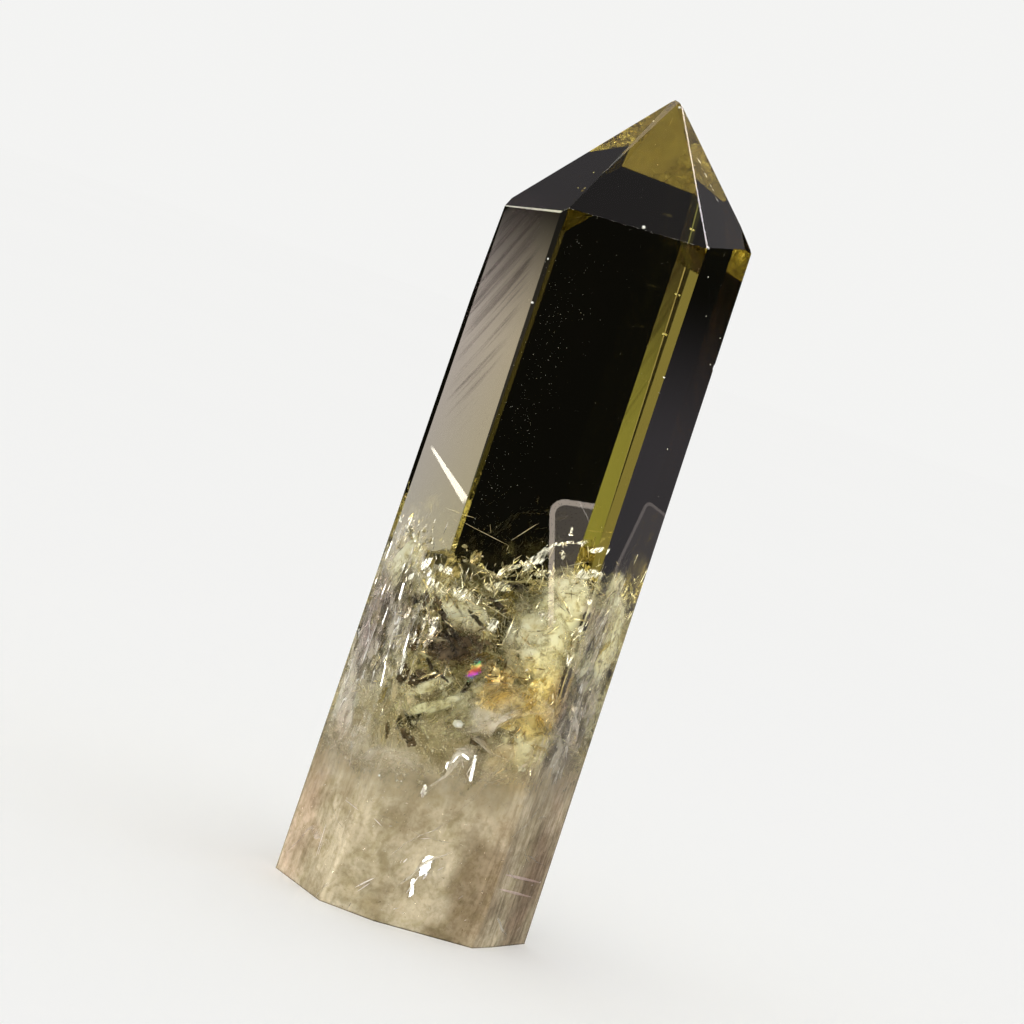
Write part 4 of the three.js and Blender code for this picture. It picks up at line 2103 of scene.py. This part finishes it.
ROSE_BANDS: list[Hair] = [
    Hair((8.8, 9.2), (12.9, 9.6), 0.27, 0.38), Hair((8.8, 7.6), (12.6, 7.9), 0.27, 0.36),
]
ZONES: tuple[Zone, ...] = (
    Zone(Stain.BROWN, -3, 30, 4.2, 2.6), Zone(Stain.SOOT, -3.4, 30.2, 2.2, 1.3),
    Zone(Stain.BROWN, 0.6, 29, 4, 3.6, 0.5), Zone(Stain.OLIVE, -3.8, 22.6, 4.4, 5, 0.65),
    Zone(Stain.OLIVE, 1.5, 37.4, 4, 2.6, 0.6), Zone(Stain.CREAM, 6.9, 34, 2.6, 7.5, 0.5),
    Zone(Stain.GOLD, 6, 27, 4, 4.4, 0.9), Zone(Stain.GOLD, 1.8, 26.6, 2.4, 2.6, 0.8),
    Zone(Stain.VIOLET, -12.2, 30.5, 2.8, 5, 1, 0.8), Zone(Stain.BROWN, -9, 32.5, 2, 2, 0.7, 0.8),
    Zone(Stain.CREAM, -9.2, 26, 2.4, 3.4, 0.8), Zone(Stain.VIOLET, 9.3, 29, 1.5, 4, 1, 0.9),
    Zone(Stain.VIOLET, 9.3, 38, 1.5, 3, 1, 0.9), Zone(Stain.CREAM, 11.3, 34.5, 2.5, 5, 0.6),
    Zone(Stain.BROWN, 6.9, 6.5, 3.4, 10, 0.6, 0.3), Zone(Stain.GOLD, 6.2, 20.5, 4, 4, 0.4),
    Zone(Stain.BROWN, 11.8, 6, 3.2, 11, 0.62, 0.3), Zone(Stain.BROWN, 11, 16.5, 1.8, 3.4, 0.4),
    Zone(Stain.BROWN, 5.6, 7.6, 1.6, 2.6, 0.5), Zone(Stain.OLIVE, -5.5, 6, 2.2, 3.4, 0.35),
    Zone(Stain.OLIVE, 1.8, 12, 2.4, 1.6, 0.3), Zone(Stain.ROSE, -12, 8, 4, 12, 1),
    Zone(Stain.ROSE, 11.5, 12, 3, 16, 1), Zone(Stain.SOOT, -6.6, 19.4, 1.2, 1.4, 0.5),
)
BEADS: tuple[Triple, ...] = (
    (0.9, 90.2, 0.36), (8.4, 77.4, 0.34), (1.35, 77.3, 0.40), (8.3, 63.2, 0.26), (12.8, 9.6, 0.42),
    (-7, 71, 0.26), (-7.1, 66.2, 0.34), (-6.5, 14.8, 0.30), (2.2, 90, 0.18), (-1.2, 88, 0.16),
    (-0.4, 22.4, 1.3), (9.3, 74.5, 0.22), (10.4, 70.6, 0.18), (12.5, 68.9, 0.20), (12.4, 66, 0.22),
    (11, 56.3, 0.20),
)


# ---- Assembly ------------------------------------------------------------------------------------


KEY_WAY = direction(*KEY_LAMP)
BRIGHT_FILM = CrackMirror("bright_film", (0.96, 0.96, 0.88), (0.26, 0.25, 0.18), metal=0.85, rough=0.34,
                          patch_cell=0.6 * MM, feather_cell=0.22 * MM, thin=0.45, thick=0.50, stretch=7.0,
                          crumple=0.02 * MM)


def corners(box: tuple) -> list[list[float]]:
    """Writes a box as plain lists."""
    return [[float(value) for value in corner] for corner in box]


def fill_foot(stone: Stone, crystal: Piece) -> None:
    """Fills the cloudy half with milk, veils, small cracks, flecks and grains.

    Args:
        stone: the inside of the stone.
        crystal: the dressed crystal.
    """
    MilkyCore().build(stone, crystal)
    HazeCloud("milky_veils", Haze(cover=0.5), count=90, seed=5, centre=(0.0, 0.0, 15.0),
              spread=(12.5, 11.5, 15.0), width=(6.0, 12.0)).build(stone)
    amber = Haze("amber_haze", light=(0.90, 0.88, 0.66), dark=(0.42, 0.35, 0.20), cloud_cell=4.0 * MM,
                 fleck_cell=1.1 * MM, thin=0.44, thick=0.58, top=38.0 * MM, fade=3.0 * MM, swell=7.0 * MM,
                 slope=0.12)
    HazeCloud("amber_veils", amber, count=40, seed=205, centre=(0.0, 0.0, 32.0), spread=(12.0, 11.0, 10.0),
              width=(8.0, 14.0)).build(stone)
    pale = CrackMirror("pale_mirror", (0.74, 0.74, 0.62), (0.24, 0.20, 0.12), metal=0.45, rough=0.2,
                       patch_cell=0.8 * MM, feather_cell=0.25 * MM, thin=0.44, thick=0.50, stretch=5.0)
    gold = CrackMirror("gold_mirror", (0.84, 0.74, 0.38), (0.24, 0.18, 0.07), metal=0.5, rough=0.2,
                       patch_cell=0.8 * MM, feather_cell=0.25 * MM, thin=0.44, thick=0.50, stretch=5.0)
    CrackCloud("pale_cracks", pale, count=75, seed=21, centre=(0.0, -1.0, 31.0), spread=(12.5, 9.0, 9.0),
               width=(1.6, 4.5)).build(stone)
    CrackCloud("gold_cracks", gold, count=50, seed=41, centre=(2.5, -1.0, 28.5), spread=(10.0, 9.0, 8.5),
               width=(1.6, 4.5)).build(stone)
    Flecks("pale_flecks", Frost("pale_frost"), count=900, seed=11, centre=(0.0, 0.0, 30.0),
           spread=(7.0, 7.0, 4.0), size=0.22).build(stone)
    bright = CrackMirror("bright_mirror", (0.98, 0.97, 0.92), (0.7, 0.66, 0.55), thin=0.2, thick=0.3)
    Flecks("bright_flecks", bright, count=500, seed=12, centre=(0.0, 0.0, 29.0), spread=(7.0, 7.0, 5.0),
           size=0.28).build(stone)
    Grains().build(stone)


def add_crest(stone: Stone) -> None:
    """Throws splinters along the crest of the cloudy half and through it.

    Args:
        stone: the inside of the stone.
    """
    pale = WholeMirror("fibre", (0.90, 0.90, 0.76), (0.30, 0.25, 0.14), metal=0.75, rough=0.25,
                       feather_cell=0.8 * MM)
    gold = WholeMirror("fibre_gold", (0.92, 0.84, 0.58), (0.26, 0.19, 0.09), metal=0.8, rough=0.25,
                       feather_cell=0.8 * MM)
    Splinters("pale_splinters", pale, 680, 861, KEY_WAY, spread=3.0, length=1.25, jitter=0.26,
              slim=(0.03, 0.11)).build(stone)
    Splinters("deep_splinters", gold, 650, 871, KEY_WAY, crest=36.0, rise=0.2, spread=7.0, length=0.9,
              jitter=0.30, slim=(0.04, 0.13)).build(stone)


def add_glints(stone: Stone) -> None:
    """Adds what gleams: flashes, golden plates, shards, and glints behind the faces and at the foot.

    Args:
        stone: the inside of the stone.
    """
    gold = CrackMirror("gold_film", (0.97, 0.88, 0.54), (0.78, 0.64, 0.32), metal=0.6, rough=0.3,
                       patch_cell=1.2 * MM, feather_cell=0.35 * MM, thin=0.34, thick=0.38, stretch=4.0)
    shine = WholeMirror("bright_shard", (0.99, 0.98, 0.93), (0.80, 0.78, 0.66), metal=0.8, rough=0.2)
    foil = WholeMirror("gold_shard", (0.97, 0.84, 0.48), (0.70, 0.50, 0.20), metal=0.8, rough=0.2)
    MarkSet("bright_flashes", BRIGHT_FILM, BRIGHT_MARKS, 403, KEY_WAY, jitter=0.07, cells=20,
            waves=((0.06 * MM, 1.6 * MM), (0.012 * MM, 0.35 * MM)), smooth=False).build(stone)
    MarkSet("gold_plates", gold, GOLD_MARKS, 502, KEY_WAY, jitter=0.08, grow=1.4, cells=26,
            waves=((0.20 * MM, 1.4 * MM), (0.07 * MM, 0.5 * MM), (0.02 * MM, 0.2 * MM)),
            smooth=False).build(stone)
    ShardSet("bright_shards", shine, BRIGHT_MARKS, 401, KEY_WAY, size=0.26, jitter=0.12).build(stone)
    ShardSet("gold_shards", foil, GOLD_MARKS, 501, KEY_WAY, size=0.30, jitter=0.15).build(stone)
    Splinters("foot_glints", shine, 420, 881, KEY_WAY, crest=13.0, rise=0.0, spread=6.5, deep=(0.03, 0.10),
              length=0.22, jitter=0.22, margin=0.01 * MM).build(stone)
    Splinters("side_glints", shine, 420, 891, KEY_WAY, crest=41.0, rise=0.0, spread=12.0, deep=(0.1, 0.6),
              length=0.6, jitter=0.2, margin=0.02 * MM, inner=7.6, sway=0.35).build(stone)
    flash = WholeMirror("foot_flash", (1.0, 0.95, 0.93), (0.88, 0.84, 0.82), metal=0.4, rough=0.35)
    Hairs("foot_flashes", flash, FOOT_FLASHES, loose=0, seed=404).build(stone)
    plate = CrackMirror("flash_film", (1.0, 1.0, 0.98), (0.80, 0.82, 0.76), metal=0.7, rough=0.25,
                        patch_cell=0.8 * MM, feather_cell=0.3 * MM, thin=0.34, thick=0.38, crumple=0.01 * MM)
    MarkSet("foot_plates", plate, FLASH_MARKS, 407, KEY_WAY, jitter=0.02, cells=14,
            waves=((0.03 * MM, 1.6 * MM),), smooth=False).build(stone)


def add_stains(stone: Stone) -> None:
    """Adds the clouds, stains, dark cracks, tan blades, the rainbow, fine lines and dust.

    Args:
        stone: the inside of the stone.
    """
    cream = Haze("cream_cloud", light=(0.92, 0.93, 0.76), dark=(0.74, 0.68, 0.42), cloud_cell=3.0 * MM,
                 fleck_cell=1.1 * MM, thin=0.38, thick=0.56, cover=0.8, top=50.0 * MM, fade=3.0 * MM,
                 swell=3.0 * MM)
    MarkSet("cream_clouds", cream, CLOUD_MARKS, 901, jitter=0.3, cells=24).build(stone)
    brown = DarkFilm("brown_stain", (0.035, 0.022, 0.012), (0.16, 0.11, 0.06))
    MarkSet("dark_stains", brown, DARK_MARKS, 601, jitter=0.3, grow=1.4, cells=20).build(stone)
    black = DarkFilm("black_crack", (0.016, 0.012, 0.008), (0.07, 0.05, 0.03), cell=0.7 * MM)
    MarkSet("black_cracks", black, BLACK_MARKS, 611, jitter=0.3, grow=1.7, cells=14).build(stone)
    tan = Haze("tan_blade", (0.97, 0.90, 0.74), (0.88, 0.76, 0.56), thin=0.2, thick=0.4)
    MarkSet("tan_blades", tan, TAN_MARKS, 701, grow=1.6).build(stone)
    MarkSet("rainbow_spot", Rainbow(), [Mark(-0.6, 28.3, 2.0, 1.0, 2.3, -15.0)], 801).build(stone)
    line = CrackMirror("line_mirror", (0.98, 0.94, 0.80), (0.9, 0.8, 0.55), metal=0.4, rough=0.3, thin=0.0,
                       thick=0.1)
    Hairs("fine_lines", line, HAIRS, loose=420, seed=811).build(stone)
    Dust().build(stone)


def add_side_veils(stone: Stone) -> None:
    """Adds the smoky bands, the violet painted shade and the streaks that lie flat behind the two side faces.

    Args:
        stone: the inside of the stone.
    """
    waves = ((0.3 * MM, 6.0 * MM),)
    Skin("smoky_bands", Smoke(), SideFace.LEFT, -11.2, 66.0, depths=(0.8, 1.7), width=11.0, height=32.0,
         seed=301).build(stone)
    # The violet sheets darken the side faces in patches: painted shade.
    shade = DarkFilm("violet_painted_shade", (0.050, 0.038, 0.040), (0.20, 0.16, 0.15), cell=2.4 * MM, cover=0.28)
    Skin("right_painted_shade", shade, SideFace.RIGHT, 11.2, 22.0, depths=(1.35,), width=11.0, height=44.0, seed=333,
         waves=waves).build(stone)
    Skin("left_painted_shade", shade, SideFace.LEFT, -11.6, 30.0, depths=(1.25,), width=11.0, height=20.0, seed=343,
         waves=waves).build(stone)
    right = Streaks("right_streaks", (0.20, 0.15, 0.13), (0.86, 0.80, 0.69), cover=0.38)
    Skin("right_streaks", right, SideFace.RIGHT, 10.9, 20.0, depths=(0.9, 1.8), width=12.0, height=50.0,
         seed=331, waves=waves).build(stone)
    left = Streaks("left_streaks", (0.17, 0.13, 0.13), (0.84, 0.79, 0.70), cover=0.38)
    Skin("left_streaks", left, SideFace.LEFT, -11.3, 28.5, depths=(0.8, 1.7), width=13.0, height=30.0,
         seed=341, waves=waves).build(stone)


def add_last_touches(stone: Stone) -> None:
    """Adds the rosy bands of the foot, the wisps of the point, the beads and the veil over the cloudy half.

    Args:
        stone: the inside of the stone.
    """
    rose = Frost("rose_band", (0.80, 0.66, 0.64), (0.66, 0.52, 0.48))
    Hairs("rose_bands", rose, ROSE_BANDS, loose=0, seed=361).build(stone)
    MarkSet("point_wisps", BRIGHT_FILM, WISP_MARKS, 405, KEY_WAY, jitter=0.05, grow=1.4, cells=10,
            waves=((0.05 * MM, 1.0 * MM),)).build(stone)
    Beads("bright_beads", Frost("bead_frost", (0.98, 0.99, 1.0), (0.85, 0.90, 0.92)), BEADS, 371).build(stone)
    CrossVeil().build(stone)


def main() -> None:
    """Builds the studio, the crystal and its flaws."""
    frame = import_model()
    deselect_all()
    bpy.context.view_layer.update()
    studio = Studio()
    studio.build()
    crystal = Crystal().build(frame["nodes"][NODE])
    stone = Stone.within(crystal, studio)
    fill_foot(stone, crystal)
    add_crest(stone)
    add_glints(stone)
    add_stains(stone)
    add_side_veils(stone)
    add_last_touches(stone)


if __name__ == "__main__":
    logging.basicConfig(level=logging.INFO)
    main()
